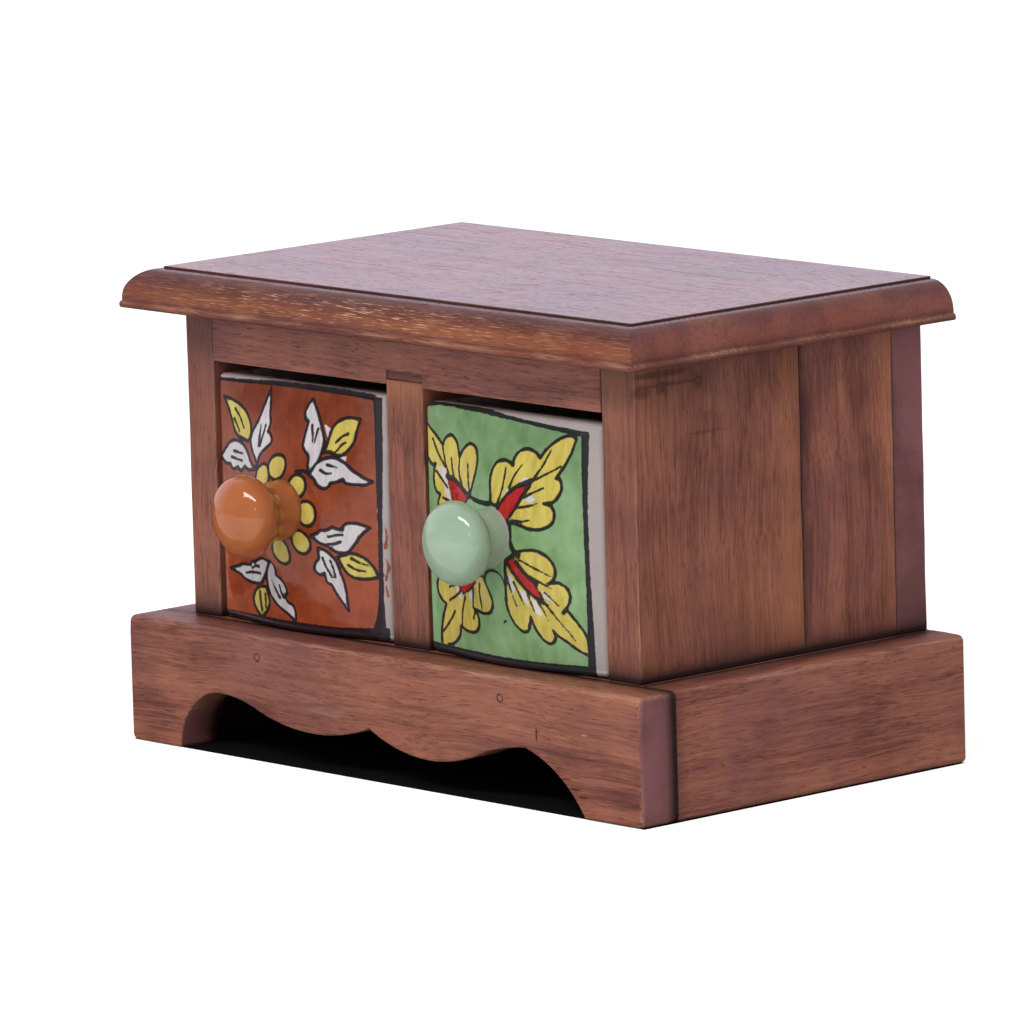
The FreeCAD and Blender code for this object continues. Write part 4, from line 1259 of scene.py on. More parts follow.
def upper_left_leaves(painting):
    painting.fill("yellow", [
        [(-27.0, 25.8), (-23.0, 24.5), (-20.0, 22.3), (-18.1, 19.7), (-17.9, 17.4), (-18.7, 15.7)],
        [(-21.6, 16.1), (-25.2, 17.0), (-27.5, 20.2), (-29.2, 23.4), (-31.4, 26.4)]])
    painting.fill("white", [
        [(-10.9, 27.0), (-10.3, 23.8), (-9.4, 21.8), (-9.8, 19.4)], [(-8.2, 18.5), (-7.3, 16.9),
         (-8.8, 15.4), (-10.8, 13.9), (-12.0, 12.2), (-12.3, 9.9)], [(-14.0, 11.8), (-16.2, 14.0),
         (-17.4, 16.3), (-16.7, 18.8), (-14.8, 22.0), (-13.5, 25.6), (-11.6, 30.6)]])
    painting.fill("white", [
        [(-15.6, 10.1), (-18.4, 12.7), (-20.8, 14.4), (-24.2, 15.2), (-27.8, 14.7), (-30.6, 12.6),
         (-33.2, 9.9)], [(-30.6, 8.4), (-28.4, 8.6)], [(-26.6, 7.4), (-23.6, 8.2)], [(-21.6, 7.5),
         (-19.4, 8.9)], [(-16.4, 8.4), (-12.4, 9.0)]])
    painting.strokes([
        [(-26.1, 23.6), (-23.8, 21.6), (-21.5, 18.9)], [(-26.6, 20.9), (-23.8, 17.9)],
        [(-26.5, 12.2), (-21.2, 12.1)], [(-27.7, 10.4), (-21.0, 10.2)]], 0.45, 0.35)
    painting.stroke([(-13.5, 20.8), (-13.2, 18.0), (-12.8, 15.4)], 0.3, 0.75)
    painting.stroke([(-11.2, 20.9), (-11.8, 18.0), (-12.4, 15.4)], 0.35, 0.6)


def lower_right_leaves(painting):
    painting.fill("white", [
        [(11.9, -5.9), (13.2, -4.9)], [(15.0, -4.8), (16.8, -3.8)], [(18.4, -4.3), (19.8, -4.5)],
        [(20.3, -3.2), (21.8, -2.5), (23.8, -2.5), (27.8, -3.4)], [(25.2, -5.4), (23.4, -7.7),
         (21.5, -9.8), (19.6, -10.8), (17.0, -10.5), (14.4, -9.0), (12.0, -8.3), (10.0, -6.6)]])
    painting.fill("white", [
        [(13.7, -10.5), (15.7, -12.1), (16.8, -14.0), (17.5, -16.8), (18.1, -20.4), (17.7, -27.0)],
        [(15.8, -24.6), (14.4, -22.2), (13.5, -20.0)], [(12.1, -19.4), (12.0, -17.0)], [(10.2, -17.5),
         (8.8, -16.2), (9.6, -14.4), (11.2, -12.9), (11.4, -9.9)]])
    painting.fill("yellow", [
        [(19.4, -11.4), (22.0, -10.7), (24.9, -11.5), (27.6, -13.3), (29.9, -16.6)], [(27.0, -17.3),
         (23.8, -17.6), (20.8, -17.2), (18.9, -15.6), (17.4, -12.0)]])
    painting.strokes([
        [(19.7, -5.8), (17.6, -6.0), (15.3, -6.6)], [(18.9, -7.7), (16.8, -8.5), (14.8, -8.6)],
        [(12.4, -12.6), (13.0, -15.0), (14.2, -17.8)], [(14.8, -13.4), (15.3, -15.6), (15.4, -17.9)],
        [(21.5, -12.2), (24.0, -13.2), (26.7, -13.8)],
        [(20.3, -14.1), (22.8, -15.2), (25.5, -15.4)]], 0.45, 0.36)


def lower_left_leaves(painting):
    painting.fill("yellow", [
        [(-16.8, -23.9), (-19.2, -25.0), (-20.8, -27.2), (-20.8, -29.8), (-18.4, -32.8)],
        [(-15.9, -30.6), (-14.1, -27.8), (-14.2, -23.6)]])
    painting.fill("white", [
        [(-7.5, -17.6), (-7.9, -19.6)], [(-6.1, -20.8), (-5.1, -22.8), (-5.3, -24.6)], [(-6.8, -25.5),
         (-6.2, -27.1)], [(-4.3, -27.8), (-3.9, -29.6), (-4.5, -32.2)], [(-7.6, -30.3), (-10.6, -28.6),
         (-12.7, -26.2), (-13.1, -23.4), (-12.5, -20.2), (-11.0, -17.8), (-8.8, -15.6)]])
    painting.fill("white", [
        [(-12.6, -15.4), (-15.2, -16.1)], [(-17.6, -17.2), (-18.8, -16.9)], [(-20.0, -18.2),
         (-23.4, -18.4), (-26.6, -19.4), (-30.4, -20.4)], [(-26.0, -21.5), (-23.2, -22.7),
         (-19.5, -23.2), (-16.0, -22.7), (-13.6, -20.5), (-11.6, -18.4), (-9.4, -15.9)]])
    painting.strokes([
        [(-19.4, -19.0), (-17.2, -18.2), (-15.3, -18.0)],
        [(-23.0, -20.9), (-19.4, -20.2), (-15.5, -20.0)]], 0.35, 0.5)
    painting.stroke([(-17.5, -25.4), (-18.0, -28.0), (-18.1, -30.6)], 0.5, 0.5)
    painting.stroke([(-15.4, -25.8), (-16.2, -29.8)], 0.45, 0.35)
    painting.stroke([(-10.7, -21.4), (-10.0, -24.0), (-9.2, -26.0)], 0.35, 0.6)
    painting.stroke([(-7.8, -22.4), (-7.9, -24.4), (-7.5, -25.8)], 0.35, 0.6)


def paint_right(painting):
    """Green ground with four yellow leaves of many lobes, a red dart in the root of each."""
    edge = 34.6
    painting.fill("ground", [
        [(27.2, -32.9)], [(27.9, -20), (28.2, -4), (28.0, 12), (27.2, 29.4)], [(14, 30.4), (0, 31.3),
         (-14, 32.3), (-25, 32.6), (-31, 32.1), (-34.4, 30.8)], [(-34.4, -32.9)]], 0)
    upper_right_spray(painting)
    lower_right_spray(painting)
    upper_left_spray(painting)
    lower_left_spray(painting)
    painting.stroke([(-edge, 30.6), (-31.5, 32.3), (-25, 32.8), (-14, 32.5)], 0.5, 0.8)
    painting.stroke([(-14, 32.5), (-5, 31.7), (5, 31.0)], 0.7, 0.5)
    painting.stroke([(5, 31.0), (17, 30.2), (28.8, 29.6)], 0.5, 0.8)
    painting.fill("black", [
        [(26.9, 20), (27.6, 8), (27.9, -4), (27.7, -16), (26.8, -30)], [(26.4, -34.5), (29.8, -34.5)],
        [(29.6, -22), (29.4, -8), (29.2, 4), (29.0, 16), (29.4, 29.6)], [(26.4, 29.6)]], 0)
    painting.fill("black", [
        [(-18, -32.3), (4, -32.6), (27, -31.6)], [(27, -40)], [(-edge, -40)], [(-edge, -31.4)]], 0)
    painting.stroke([(-34.0, 31), (-34.2, 0), (-34.0, -32)], 0.35, 0.5)
    # Round the knob
    painting.stroke([(-10.2, 10.2), (-7.0, 9.5), (-2.0, 9.4)], 0.5, 0.75)
    painting.stroke([(5.2, 5.0), (6.4, 4.4), (6.4, 0.8), (7.3, -1.8), (8.8, -3.0)], 0.45, 0.9)
    painting.stroke(
        [(-5.0, -10.8), (-3.8, -9.1), (-1.6, -8.2), (0.6, -8.4), (2.1, -9.7), (2.8, -12.6)], 0.45, 0.4)
    painting.stroke([(-2.4, -22.9), (-1.2, -22.2)], 0.25, 0.35)


def upper_right_spray(painting):
    painting.fill("yellow", [
        [(-1.4, 9.8), (-2.0, 12.0), (-3.0, 14.6), (-3.3, 17.6), (-2.2, 19.8), (0.2, 20.7), (2.6, 20.4),
         (4.3, 19.7)], [(4.0, 21.5), (5.2, 23.3), (8.0, 24.2), (10.8, 23.7), (12.9, 22.3)],
        [(14.4, 24.4), (17.0, 26.6), (20.0, 28.2), (22.8, 28.8), (24.8, 28.2)], [(23.2, 24.3),
         (21.3, 20.8), (19.0, 17.6)], [(20.3, 17.3), (21.0, 15.4), (20.4, 13.2), (18.8, 11.4),
         (16.2, 10.9)], [(18.4, 10.3), (19.5, 8.1), (18.7, 5.6), (16.0, 4.2), (12.4, 4.0), (9.2, 4.9),
         (6.0, 5.2)], [(1.0, 9.2)]])
    painting.fill("white", [[(8.4, 17.0)], [(11.2, 16.9)], [(10.0, 15.5), (7.2, 14.9)]], 0)
    painting.fill("white", [[(4.2, 14.6)], [(4.8, 12.8)], [(2.6, 10.8)]], 0)
    painting.fill("white", [[(11.5, 12.6)], [(14.4, 11.9)], [(12.4, 11.0), (9.8, 11.2)]], 0)
    painting.fill("red", [
        [(3.8, 11.6), (6.6, 14.0), (10.0, 15.6)], [(9.2, 12.0), (7.2, 8.6), (5.0, 5.2)],
        [(1.4, 8.0)]], 0.3)
    painting.stroke([(1.5, 9.0), (4.2, 12.4), (7.2, 14.7), (11.2, 16.2)], 0.4, 0.85)
    painting.stroke([(5.2, 5.6), (7.6, 9.0), (9.4, 12.4), (11.0, 15.0)], 0.4, 0.7)
    painting.strokes([
        [(1.2, 9.6), (1.9, 12.4), (2.1, 15.8), (1.7, 18.9)], [(4.5, 14.2), (5.4, 17.2), (7.3, 20.2)],
        [(12.0, 17.0), (14.2, 20.4), (16.2, 24.6)], [(11.6, 16.3), (15.6, 18.3), (20.0, 20.7)],
        [(9.8, 12.0), (12.2, 13.3), (15.6, 14.8)], [(8.6, 9.3), (11.4, 9.8), (14.2, 10.8)],
        [(6.4, 5.8), (9.6, 5.8), (12.5, 6.3)]], 0.45, 0.28)


def lower_right_spray(painting):
    painting.fill("yellow", [
        [(11.0, -1.7), (14.6, -1.7), (17.6, -3.3), (19.3, -6.0), (18.8, -8.6), (17.0, -10.2)],
        [(19.6, -9.8), (22.0, -10.9), (22.9, -13.3), (21.9, -15.8), (20.0, -18.0)], [(21.4, -17.0)],
        [(24.2, -20.2), (26.8, -23.6), (27.6, -28.8)], [(23.6, -27.7), (20.0, -25.9), (17.2, -24.5),
         (15.6, -23.2)], [(15.8, -25.4), (13.6, -26.9), (11.2, -25.9), (9.4, -23.2), (8.9, -20.0)],
        [(7.8, -22.0), (6.6, -23.9), (4.4, -24.5), (2.2, -22.8), (1.2, -19.6), (1.4, -16.6),
         (2.7, -12.6), (3.5, -9.2), (4.4, -5.0)], [(8.2, -2.5)]])
    painting.fill("white", [[(6.2, -10.4)], [(5.6, -14.4)], [(4.5, -12.0), (4.4, -7.6)]], 0)
    painting.fill("white", [[(9.4, -13.4)], [(9.4, -17.6)], [(8.0, -15.0), (7.0, -11.4)]], 0)
    painting.fill("white", [[(12.4, -15.8)], [(13.0, -19.2), (10.9, -18.8)], [(10.2, -14.0)]], 0)
    painting.fill("white", [[(17.6, -15.6)], [(14.8, -14.4)], [(14.6, -11.4)]], 0)
    painting.fill("red", [
        [(6.6, -3.8)], [(9.6, -7.6), (12.8, -11.0), (14.8, -15.2)], [(11.6, -13.8), (8.4, -10.4),
         (4.8, -4.9)]], 0.35)
    painting.stroke([(4.9, -6.0), (8.0, -10.6), (11.6, -14.0), (15.4, -16.2)], 0.4, 0.6)
    painting.stroke([(7.2, -3.6), (10.4, -7.8), (13.4, -10.6)], 0.4, 0.55)
    painting.strokes([
        [(8.8, -4.2), (13.4, -6.3), (18.0, -8.3)], [(10.4, -8.0), (14.0, -9.8), (17.7, -11.6)],
        [(15.4, -12.8), (17.2, -14.4), (18.9, -16.0)], [(15.0, -16.2), (18.6, -20.6), (23.0, -25.3)],
        [(4.0, -8.0), (4.3, -12.4), (4.9, -17.3)], [(6.1, -10.6), (7.1, -14.2), (7.9, -17.6)],
        [(9.8, -13.6), (10.3, -16.0), (10.7, -18.3)],
        [(12.7, -15.9), (13.9, -17.8), (14.7, -20.5)]], 0.42, 0.3)


def upper_left_spray(painting):
    painting.fill("yellow", [
        [(-31.0, 25.2), (-28.4, 23.3), (-26.5, 21.7)], [(-25.4, 23.7), (-23.2, 24.8), (-20.9, 23.8),
         (-19.2, 21.3), (-18.3, 19.3)], [(-17.0, 21.8), (-14.6, 23.4), (-12.0, 22.7), (-10.3, 20.0),
         (-10.0, 16.4), (-10.9, 10.2)], [(-16.0, 8.0), (-24.0, 3.0)], [(-27.4, 4.4), (-28.3, 6.4),
         (-27.0, 8.8)], [(-29.2, 9.2), (-30.4, 11.4), (-30.4, 14.6), (-29.5, 16.5)], [(-31.4, 16.2),
         (-33.2, 18.2), (-34.3, 22.0), (-34.8, 25.4), (-34.6, 27.9)]])
    painting.fill("white", [
        [(-25.0, 15.8), (-23.4, 13.6)], [(-22.4, 10.6), (-20.4, 8.2)], [(-23.6, 8.4), (-25.0, 11.4),
         (-27.0, 13.8), (-29.0, 16.2)]], 0)
    painting.fill("white", [[(-11.6, 12.6)], [(-11.0, 10.4)], [(-13.4, 11.6)]], 0)
    painting.fill("red", [
        [(-18.6, 13.0), (-15.4, 11.6), (-11.6, 9.6)], [(-14, 8.0), (-19.9, 8.0)], [(-21.7, 10.8),
         (-23.4, 13.5)]], 0.3)
    painting.stroke([(-23.8, 14.0), (-19.6, 13.5), (-15.0, 11.8), (-10.0, 10.1)], 0.75, 0.5)
    painting.strokes([
        [(-30.8, 23.0), (-28.5, 19.4), (-25.0, 16.3)], [(-29.4, 14.6), (-26.4, 12.8), (-23.2, 11.0)],
        [(-26.5, 21.6), (-25.4, 18.2), (-22.9, 14.5)], [(-22.2, 18.7), (-20.8, 15.4), (-19.6, 13.6)],
        [(-18.3, 19.2), (-17.6, 15.4), (-15.0, 12.2)], [(-14.1, 18.1), (-12.9, 14.8), (-11.4, 11.4)],
        [(-25.6, 8.0), (-21.4, 7.6)]], 0.42, 0.4)


def lower_left_spray(painting):
    painting.fill("yellow", [
        [(-4.9, -12.8), (-4.2, -15.8), (-4.7, -18.4), (-6.7, -20.4), (-9.6, -21.0), (-13.7, -20.2)],
        [(-12.6, -22.4), (-13.4, -25.4), (-16.0, -27.1), (-19.0, -26.9), (-21.2, -26.0)],
        [(-22.2, -28.8), (-25.0, -31.2), (-29.6, -32.4)], [(-29.5, -28.2), (-28.4, -24.2),
         (-26.7, -20.6)], [(-28.9, -19.4), (-30.3, -17.2), (-29.8, -14.4), (-27.6, -13.4),
         (-22.0, -11.6), (-14.0, -9.0)], [(-5.6, -10.4)]])
    painting.fill("white", [[(-18.0, -14.6)], [(-18.6, -18.6)], [(-20.6, -17.0), (-20.2, -14.2)]], 0)
    painting.fill("white", [[(-11.4, -14.6)], [(-12.6, -17.6)], [(-14.2, -18.6), (-14.6, -16.2)]], 0)
    painting.fill("red", [
        [(-13.6, -12.6), (-19.2, -14.6)], [(-17.6, -16.8)], [(-13.2, -14.8), (-9.6, -12.2)]], 0.3)
    painting.strokes([
        [(-18.0, -14.0), (-20.6, -14.6), (-24.3, -15.8)],
        [(-18.8, -16.3), (-21.6, -17.9), (-25.0, -19.5)],
        [(-23.0, -22.2), (-25.4, -25.0), (-28.9, -28.3)],
        [(-16.6, -17.2), (-19.4, -21.6), (-20.6, -25.8)], [(-13.4, -20.8), (-15.0, -23.2)],
        [(-11.6, -14.2), (-12.7, -16.8), (-14.0, -20.0)],
        [(-8.0, -12.6), (-9.2, -15.8), (-9.9, -19.8)]], 0.42, 0.34)


# Ceramic pieces
def crown(share):
    """How far the front swells, from 1 in the middle to 0 at the edge of a half width."""
    share = np.clip(share, -1, 1)
    return (1 - share ** 2) * (1 - CROWN_EASE * share ** 2)


def crown_up(share):
    """The same from the lower edge, which keeps a share of the swelling, to the upper edge."""
    low, high = 2 * CROWN_FOOT, 1.5 * (1 - CROWN_EASE)
    poles = (CROWN_FOOT, low, (16 - CROWN_FOOT - 4 * low - 4 * high) / 6, high, 0)
    part = (np.clip(share, -1, 1) + 1) / 2
    return sum(pole * math.comb(4, k) * part ** k * (1 - part) ** (4 - k) for k, pole in enumerate(poles))


def as_drawn(flat, half, tall):
    """
    Where a point of the front, seen at the photograph's angle, lies on the evenly domed front
    that the brushwork is drawn for. That front is centred DRAWN_LIFT above this one's middle.
    """
    slant = np.array((math.tan(CAMERA_YAW), math.tan(CAMERA_PITCH) / math.cos(CAMERA_YAW)))
    swell = crown(flat[:, 0] / half) * crown_up(flat[:, 1] / tall)
    drawn = flat - (0, DRAWN_LIFT)
    for _ in range(3):
        even = crown(drawn[:, 0] / half) * crown(drawn[:, 1] / DRAWN_TALL)
        drawn = flat - (0, DRAWN_LIFT) - CROWN_HEIGHT * (swell - even)[:, None] * slant
    return drawn


def cup_ring(half_width, front, swell, domain, back, corner, z, counts):
    """One closed ring of a drawer at a height: swelling front, sides and back."""
    n_front, n_corner, n_side, n_back = counts
    reach = half_width - corner

    def front_at(x):
        return front - swell * crown(x / domain)

    ring = [(x, front_at(x)) for x in np.linspace(-reach, reach, n_front)]
    turns = [math.pi / 2 * step / n_corner for step in range(1, n_corner)]
    edge = front_at(reach) + corner
    ring += [(reach + corner * math.sin(turn), edge - corner * math.cos(turn)) for turn in turns]
    run = [(step / (n_side - 1)) ** 1.6 for step in range(n_side)]
    ring += [(half_width, edge + (back - corner - edge) * share) for share in run]
    ring += [(reach + corner * math.cos(turn), back - corner + corner * math.sin(turn)) for turn in turns]
    ring += [(x, back) for x in np.linspace(reach, -reach, n_back)]
    ring += [(-reach - corner * math.sin(turn), back - corner + corner * math.cos(turn)) for turn in turns]
    ring += [(-half_width, edge + (back - corner - edge) * share) for share in reversed(run)]
    ring += [(-reach - corner * math.cos(turn), edge - corner * math.sin(turn)) for turn in turns]
    return [(x, y, z) for x, y in ring]


def cup_rings(width, height, front, back):
    """
    Rings of a drawer from its underside, up outside, over the rim and down inside, and how many
    of them lie outside.
    """
    half, tall = width / 2, height / 2
    counts = (round((width - 2 * DRAWER_ROUND) / PAINT_STEP), 5, 16, 14)
    rings = []

    def outer(z, inset, clip):
        share = np.clip(z, -clip, clip) / tall
        rings.append(cup_ring(half - inset, front + inset, CROWN_HEIGHT * crown_up(share), half,
                              back - inset, max(DRAWER_ROUND - inset, 0.25), z, counts))

    clip = tall - DRAWER_ROUND
    for turn in np.linspace(0, math.pi / 2, 6)[:-1]:
        outer(-tall + DRAWER_ROUND * (1 - math.sin(turn)), DRAWER_ROUND * (1 - math.cos(turn)), clip)
    rings.reverse()
    for z in np.linspace(-clip, clip, round(2 * clip / PAINT_STEP)):
        outer(z, 0.0, clip)
    for turn in np.linspace(0, math.pi / 2, 6)[1:]:
        outer(clip + DRAWER_ROUND * math.sin(turn), DRAWER_ROUND * (1 - math.cos(turn)), clip)
    outside = len(rings)
    inner_half = half - DRAWER_WALL

    def inner(z, inset):
        share = (z - DRAWER_BOTTOM) / tall
        rings.append(cup_ring(inner_half - inset, front + DRAWER_FACE + inset,
                              CROWN_HEIGHT * crown_up(share), inner_half, back - DRAWER_WALL - inset,
                              max(HOLLOW_ROUND - inset, 0.4), z, counts))

    for turn in np.linspace(0, math.pi / 2, 6):
        inner(tall - DRAWER_LIP * (1 - math.cos(turn)), -DRAWER_LIP * (1 - math.sin(turn)))
    floor = -tall + DRAWER_BOTTOM
    for z in np.linspace(tall - DRAWER_LIP, floor + HOLLOW_ROUND, 16)[1:]:
        inner(z, 0.0)
    for turn in np.linspace(0, math.pi / 2, 6)[1:]:
        inner(floor + HOLLOW_ROUND * (1 - math.sin(turn)), HOLLOW_ROUND * (1 - math.cos(turn)))
    return rings, outside


def drawer(side, paint, colours, material):
    node = f"{side}_drawer"
    low, high = box_mm(node)
    width, height = high[X] - low[X], high[Z] - low[Z]
    centre = (low + high) / 2
    front = box_mm("centre_partition")[LOW][Y] + RECESS[side]
    rings, outside = cup_rings(width, height, front, high[Y])
    count = len(rings[0])
    points = np.array([point for ring in rings for point in ring])
    faces = lids(count, len(rings)) + loft(count, len(rings))
    shown = points[:, Y] < front + PAINT_DEPTH
    shown[count * outside:] = False
    wobble = (rough(points, 16.0, 5.0 if side == "left" else 9.0)[shown] - 0.5) * 2 * FRONT_WOBBLE
    swell = crown(points[shown, X] / width * 2) * crown(points[shown, Z] / height * 2)
    points[shown, Y] += wobble * swell
    painting = Painting(as_drawn(points[shown][:, [X, Z]], width / 2, height / 2), colours)
    paint(painting)
    # Share of the height, which sets the painted shade of the ground.
    fields = {"rise": points[:, Z] / height + 0.5}
    for label, field in painting.fields.items():
        whole = np.full(len(points), FAR)
        whole[shown] = field
        fields[label] = whole
    points[:, X] += centre[X]
    points[:, Z] += centre[Z]
    tidy_normals(make_piece(f"{node}_ceramic", [node], points, faces, fields, material))


def tidy_normals(piece):
    """Turns every face of a closed mesh outwards."""
    work = bmesh.new()
    work.from_mesh(piece.data)
    bmesh.ops.recalc_face_normals(work, faces=work.faces)
    work.to_mesh(piece.data)
    work.free()


KNOB_SIDES = 72
KNOB_TURNS = [2 * math.pi * step / KNOB_SIDES for step in range(KNOB_SIDES)]
KNOBS = {  # shift and lift from the drawer's middle, length, head, front, rim, neck, hollow radii
    "left": (-0.5, 0.15, 19.4, 11.0, 14.7, 5.2, 8.0, 8.0),
    "right": (-1.9, 1.25, 16.9, 11.2, 18.0, 4.3, 7.8, 2.5),
}


def knob_section(length, head, front, rim, neck, hollow):
    """(radius, reach) points of a knob from its tip down to its neck."""
    front_centre = length - front
    rim_x = head - rim
    rim_y = front_centre + math.sqrt((front - rim) ** 2 - rim_x ** 2)
    hollow_x = neck + hollow
    hollow_y = rim_y - math.sqrt((rim + hollow) ** 2 - (hollow_x - rim_x) ** 2)
    tip_turn = math.atan2(rim_y - front_centre, rim_x)
    waist_turn = math.atan2(hollow_y - rim_y, hollow_x - rim_x)
    section = [(front * math.cos(turn), front_centre + front * math.sin(turn))
               for turn in np.linspace(math.pi / 2, tip_turn, 16)[1:]]
    section += [(rim_x + rim * math.cos(turn), rim_y + rim * math.sin(turn))
                for turn in np.linspace(tip_turn, waist_turn, 26)[1:]]
    back_turn = waist_turn + math.pi
    section += [(hollow_x + hollow * math.cos(turn), hollow_y + hollow * math.sin(turn))
                for turn in np.linspace(back_turn, math.pi, 10)[1:]]
    return section


def knob_foot(side, seed):
    """Rings where the knob's glaze joins it to the drawer's front, and how bare each point is."""
    shift, lift, _, _, _, _, neck, _ = KNOBS[side]
    low, high = box_mm(f"{side}_drawer")
    width, height = high[X] - low[X], high[Z] - low[Z]
    points, slip = [], []
    # How far each ring flares, stands off the drawer's front, and shows its bare slip
    for flare, stand, bare in ((0.0, 2.0, 0.0), (0.01, 1.3, 0.1), (0.05, 0.8, 0.5), (0.1, 0.4, 1.0),
                               (0.2, 0.08, 1.0), (0.3, -0.4, 1.0)):
        for turn in KNOB_TURNS:
            x, z = (neck + flare) * math.cos(turn), (neck + flare) * math.sin(turn)
            swell = crown((x + shift) / width * 2) * crown_up((z + lift) / height * 2)
            points.append((x, CROWN_HEIGHT * (1 - swell) - stand, z))
            slip.append(bare * (0.3 + 0.7 * rough([(7 * turn, seed, 0)], 2.5, seed)[0]))
    return points, slip


def knob(side, material, seed):
    """A turned knob whose foot spreads a little where the glaze joins it to the front."""
    shift, lift, length, head, front, rim, neck, hollow = KNOBS[side]
    points, pool_and_light = [(0.0, -length, 0.0)], [0.2]
    for radius, reach in knob_section(length, head, front, rim, neck, hollow):
        for turn in KNOB_TURNS:
            points.append((radius * math.cos(turn), -reach, radius * math.sin(turn)))
            # Rises down the neck: the glaze is rougher there, and its colour is painted a little lighter,
            # painted light in the neck's shade.
            pool_and_light.append(0.2 + 0.6 * max(0.0, 1 - reach / (0.55 * length)))
    foot, bare = knob_foot(side, seed)
    slip = [0.0] * len(points) + bare
    pool_and_light += [1.0] * len(foot)
    points = np.array(points + foot)
    wobble = (rough(points, 9.0, seed) - 0.5) * 0.12
    points[:, X] *= 1 + wobble / head
    points[:, Z] *= 1 + wobble / head
    rows = len(points) // KNOB_SIDES
    faces = [(0, 1 + step, 1 + (step + 1) % KNOB_SIDES) for step in range(KNOB_SIDES)]
    faces += loft(KNOB_SIDES, rows, 1)
    faces.append(tuple(1 + (rows - 1) * KNOB_SIDES + step for step in range(KNOB_SIDES)))
    middle = np.mean(box_mm(f"{side}_drawer"), axis=0)
    crest = box_mm("centre_partition")[LOW][Y] + RECESS[side] - CROWN_HEIGHT
    points += (middle[X] + shift, crest, middle[Z] + lift)
    fields = {"pool_and_light": pool_and_light, "slip": slip}
    tidy_normals(make_piece(f"{side}_knob_glazed", [f"{side}_knob"], points, faces, fields,
                            material))


RUST_GROUND = ((0.25, (0.215, 0.035, 0.012)), (0.42, (0.285, 0.050, 0.017)), (0.60, (0.365, 0.076, 0.027)),
               (0.85, (0.470, 0.135, 0.053)))
GREEN_GROUND = ((0.22, (0.110, 0.190, 0.075)), (0.42, (0.215, 0.370, 0.160)), (0.62, (0.300, 0.475, 0.245)),
                (0.85, (0.400, 0.550, 0.345)))
WHITE_PAINT = ("white", (0.52, 0.48, 0.50), (0.69, 0.64, 0.65))
YELLOW_PAINT = ("yellow", (0.50, 0.39, 0.070), (0.66, 0.54, 0.125))
RED_PAINT = ("red", (0.32, 0.012, 0.014), (0.52, 0.028, 0.026))
ORANGE_GLAZE = ((0.25, (0.50, 0.155, 0.050)), (0.50, (0.40, 0.110, 0.034)), (0.80, (0.27, 0.066, 0.020)))
CELADON_GLAZE = ((0.25, (0.37, 0.49, 0.36)), (0.50, (0.30, 0.43, 0.29)), (0.80, (0.22, 0.31, 0.19)))


def ceramics():
    # The triple after each seed is painted shade: it darkens the ground towards the top of the front and
    # lightens it below.
    left = painted_glaze("rust_painted_glaze", RUST_GROUND, (WHITE_PAINT, YELLOW_PAINT), 1.0,
                         (1.12, 0.87, 0.62))
    right = painted_glaze("green_painted_glaze", GREEN_GROUND, (YELLOW_PAINT, WHITE_PAINT, RED_PAINT), 2.0,
                          (0.92, 0.94, 0.72), 0.24, 0.06)
    drawer("left", paint_left, ("white", "yellow"), left)
    drawer("right", paint_right, ("white", "yellow", "red"), right)
    knob("left", plain_glaze("orange_glaze", ORANGE_GLAZE, (0.22, 0.06, 0.02), 3.0), 3.0)
    knob("right", plain_glaze("celadon_glaze", CELADON_GLAZE, (0.50, 0.40, 0.35), 4.0), 4.0)


# Room
def camera():
    back = Vector((math.sin(CAMERA_YAW) * math.cos(CAMERA_PITCH),
                   -math.cos(CAMERA_YAW) * math.cos(CAMERA_PITCH), math.sin(CAMERA_PITCH)))
    level = Vector((math.cos(CAMERA_YAW), math.sin(CAMERA_YAW), 0))
    upright = back.cross(level)
    right = level * math.cos(CAMERA_ROLL) + upright * math.sin(CAMERA_ROLL)
    up = upright * math.cos(CAMERA_ROLL) - level * math.sin(CAMERA_ROLL)
    data = bpy.data.cameras.new("photo_camera")
    data.lens = CAMERA_LENS
    data.sensor_width = SENSOR_WIDTH
    data.clip_start, data.clip_end = 0.1, 50.0
    holder = bpy.data.objects.new("photo_camera", data)
    bpy.context.scene.collection.objects.link(holder)
    holder.matrix_world = Matrix((right, up, back)).transposed().to_4x4()
    holder.location = CAMERA_PLACE
    bpy.context.scene.camera = holder


def softbox(name, place, target, width, height, radiance):
    """An even rectangular lamp. Its power follows from the radiance that its face shows."""
    lamp = bpy.data.lights.new(name, "AREA")
    lamp.shape = "RECTANGLE"
    lamp.size, lamp.size_y = width, height
    lamp.energy = radiance * math.pi * width * height
    holder = bpy.data.objects.new(name, lamp)
    bpy.context.scene.collection.objects.link(holder)
    holder.location = place
    holder.rotation_euler = (Vector(target) - Vector(place)).to_track_quat("-Z", "Y").to_euler()


WORLD_FILL = 0.66
# The floor's painted shadows: how far the black footprint reaches in at the front and back, where the dark
# band seen in reflections begins before the chest, how soft its edge is, and its colour.
FRONT_LAP, BACK_LAP = 0.7, 1.0
FRONT_SHADE, FRONT_BLUR = 60.0, 12.0
SHADE_BROWN = (0.05, 0.035, 0.03)
DIM_ROOM = (0.20, 0.19, 0.20)
PALE_SWEEP = (0.92, 0.83, 1.00)


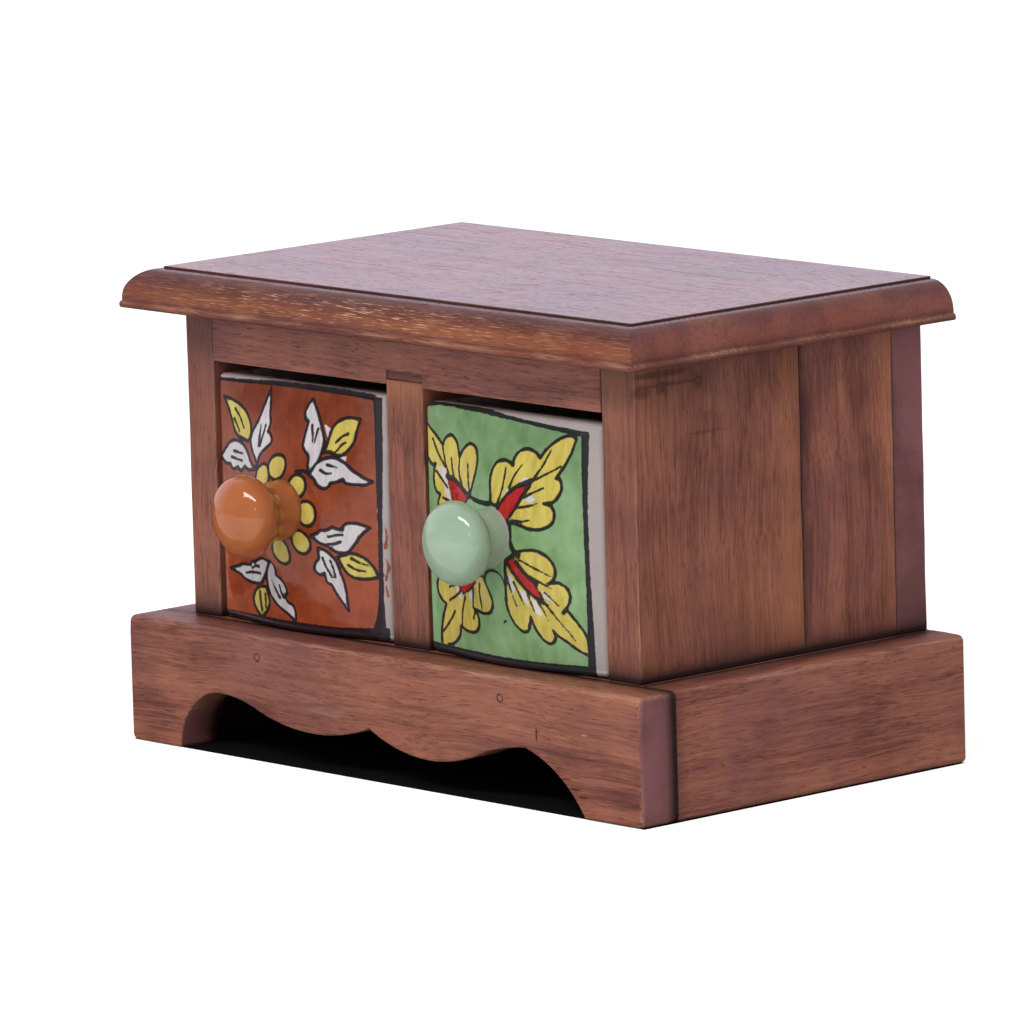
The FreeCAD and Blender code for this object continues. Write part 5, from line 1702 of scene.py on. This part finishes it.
def world():
    """
    Even pale surroundings. The camera sees them white; glossy surfaces reflect the pale sweep
    behind the chest and the darker room on the camera's side.
    """
    tree = Tree("studio", bpy.data.worlds.new("studio"))
    bpy.context.scene.world = tree.owner
    rays = tree.node("ShaderNodeLightPath")
    way = tree.node("ShaderNodeTexCoord").outputs["Generated"]
    behind = tree.vector("DOT_PRODUCT", way, (-math.sin(CAMERA_YAW), math.cos(CAMERA_YAW), 0))
    around = tree.mix(tree.span(behind, 0.10, 0.60), DIM_ROOM, PALE_SWEEP)

    def background(colour, strength):
        shade = tree.node("ShaderNodeBackground")
        tree.give(shade.inputs["Color"], colour)
        tree.give(shade.inputs["Strength"], strength)
        return shade.outputs[0]

    def blend(ray, first, second):
        mix = tree.node("ShaderNodeMixShader")
        for socket, value in zip(mix.inputs, (rays.outputs[ray], first, second)):
            tree.give(socket, value)
        return mix.outputs[0]

    white = (1.0, 1.0, 1.0)
    reflected = background(around, 1.0)
    shown = blend("Is Glossy Ray", background(white, WORLD_FILL), reflected)
    shown = blend("Is Transmission Ray", shown, reflected)
    shown = blend("Is Camera Ray", shown, background(white, 1.0))
    tree.give(tree.node("ShaderNodeOutputWorld").inputs["Surface"], shown)


def floor():
    """A pale floor that the camera sees as white. Under the chest's footprint it is painted black, a
    painted shadow seen through the arch; near the chest's front glossy rays see it dark brown, a painted
    shadow in reflections.
    """
    half = 4.0
    mesh = bpy.data.meshes.new("studio_floor")
    corners = [(-half, -half, 0), (half, -half, 0), (half, half, 0), (-half, half, 0)]
    mesh.from_pydata(corners, [], [(0, 1, 2, 3)])
    holder = bpy.data.objects.new("studio_floor", mesh)
    bpy.context.scene.collection.objects.link(holder)
    tree = Tree("pale_floor")
    split = tree.node("ShaderNodeSeparateXYZ")
    tree.give(split.inputs[0], tree.place())
    low, high = box_mm("plinth_front")[LOW], box_mm("plinth_back")[HIGH]
    # Painted shadow: black under the chest's footprint, where the floor also gives the camera no glow.
    beside = tree.math("GREATER_THAN", tree.math("ABSOLUTE", split.outputs[X]), -low[X])
    before = tree.math("LESS_THAN", split.outputs[Y], low[Y] + FRONT_LAP)
    beyond = tree.math("GREATER_THAN", split.outputs[Y], high[Y] - BACK_LAP)
    clear_of_painted_shadow = tree.math("MAXIMUM", tree.math("MAXIMUM", beside, before), beyond)
    shade = tree.mix(clear_of_painted_shadow, (0.01, 0.01, 0.01), (0.80, 0.80, 0.80))
    rays = tree.node("ShaderNodeLightPath")
    # Painted shadow seen only in reflections: dark brown on the floor just before the chest.
    edge = low[Y] - FRONT_SHADE
    under = tree.span(split.outputs[Y], edge - FRONT_BLUR, edge)
    shade = tree.mix(tree.times(under, rays.outputs["Is Glossy Ray"]), shade, SHADE_BROWN)
    seen = tree.times(rays.outputs["Is Camera Ray"], clear_of_painted_shadow)
    shader = tree.node("ShaderNodeBsdfDiffuse")
    tree.give(shader.inputs["Color"], shade)
    glow = tree.node("ShaderNodeEmission")
    tree.give(glow.inputs["Strength"], tree.times(seen, 0.6))
    both = tree.node("ShaderNodeAddShader")
    tree.give(both.inputs[0], shader.outputs[0])
    tree.give(both.inputs[1], glow.outputs[0])
    mesh.materials.append(tree.surface(both.outputs[0]))


def lamps():
    """A long softbox over the camera's left, whose streak shows on the knobs, and a small lamp."""
    target = Vector((-0.04, -0.06, 0.07))
    softbox("key_strip", target + 1.5 * Vector((0.17, -0.69, 0.71)), target, 1.1, 0.27, 11.0)
    softbox("small_lamp", target + 1.6 * Vector((0.44, -0.84, 0.31)), target, 0.10, 0.08, 14.0)


camera()
world()
floor()
lamps()
wooden_case()
wooden_plinth()
all_nails()
ceramics()
bpy.context.scene.view_settings.view_transform = "Standard"
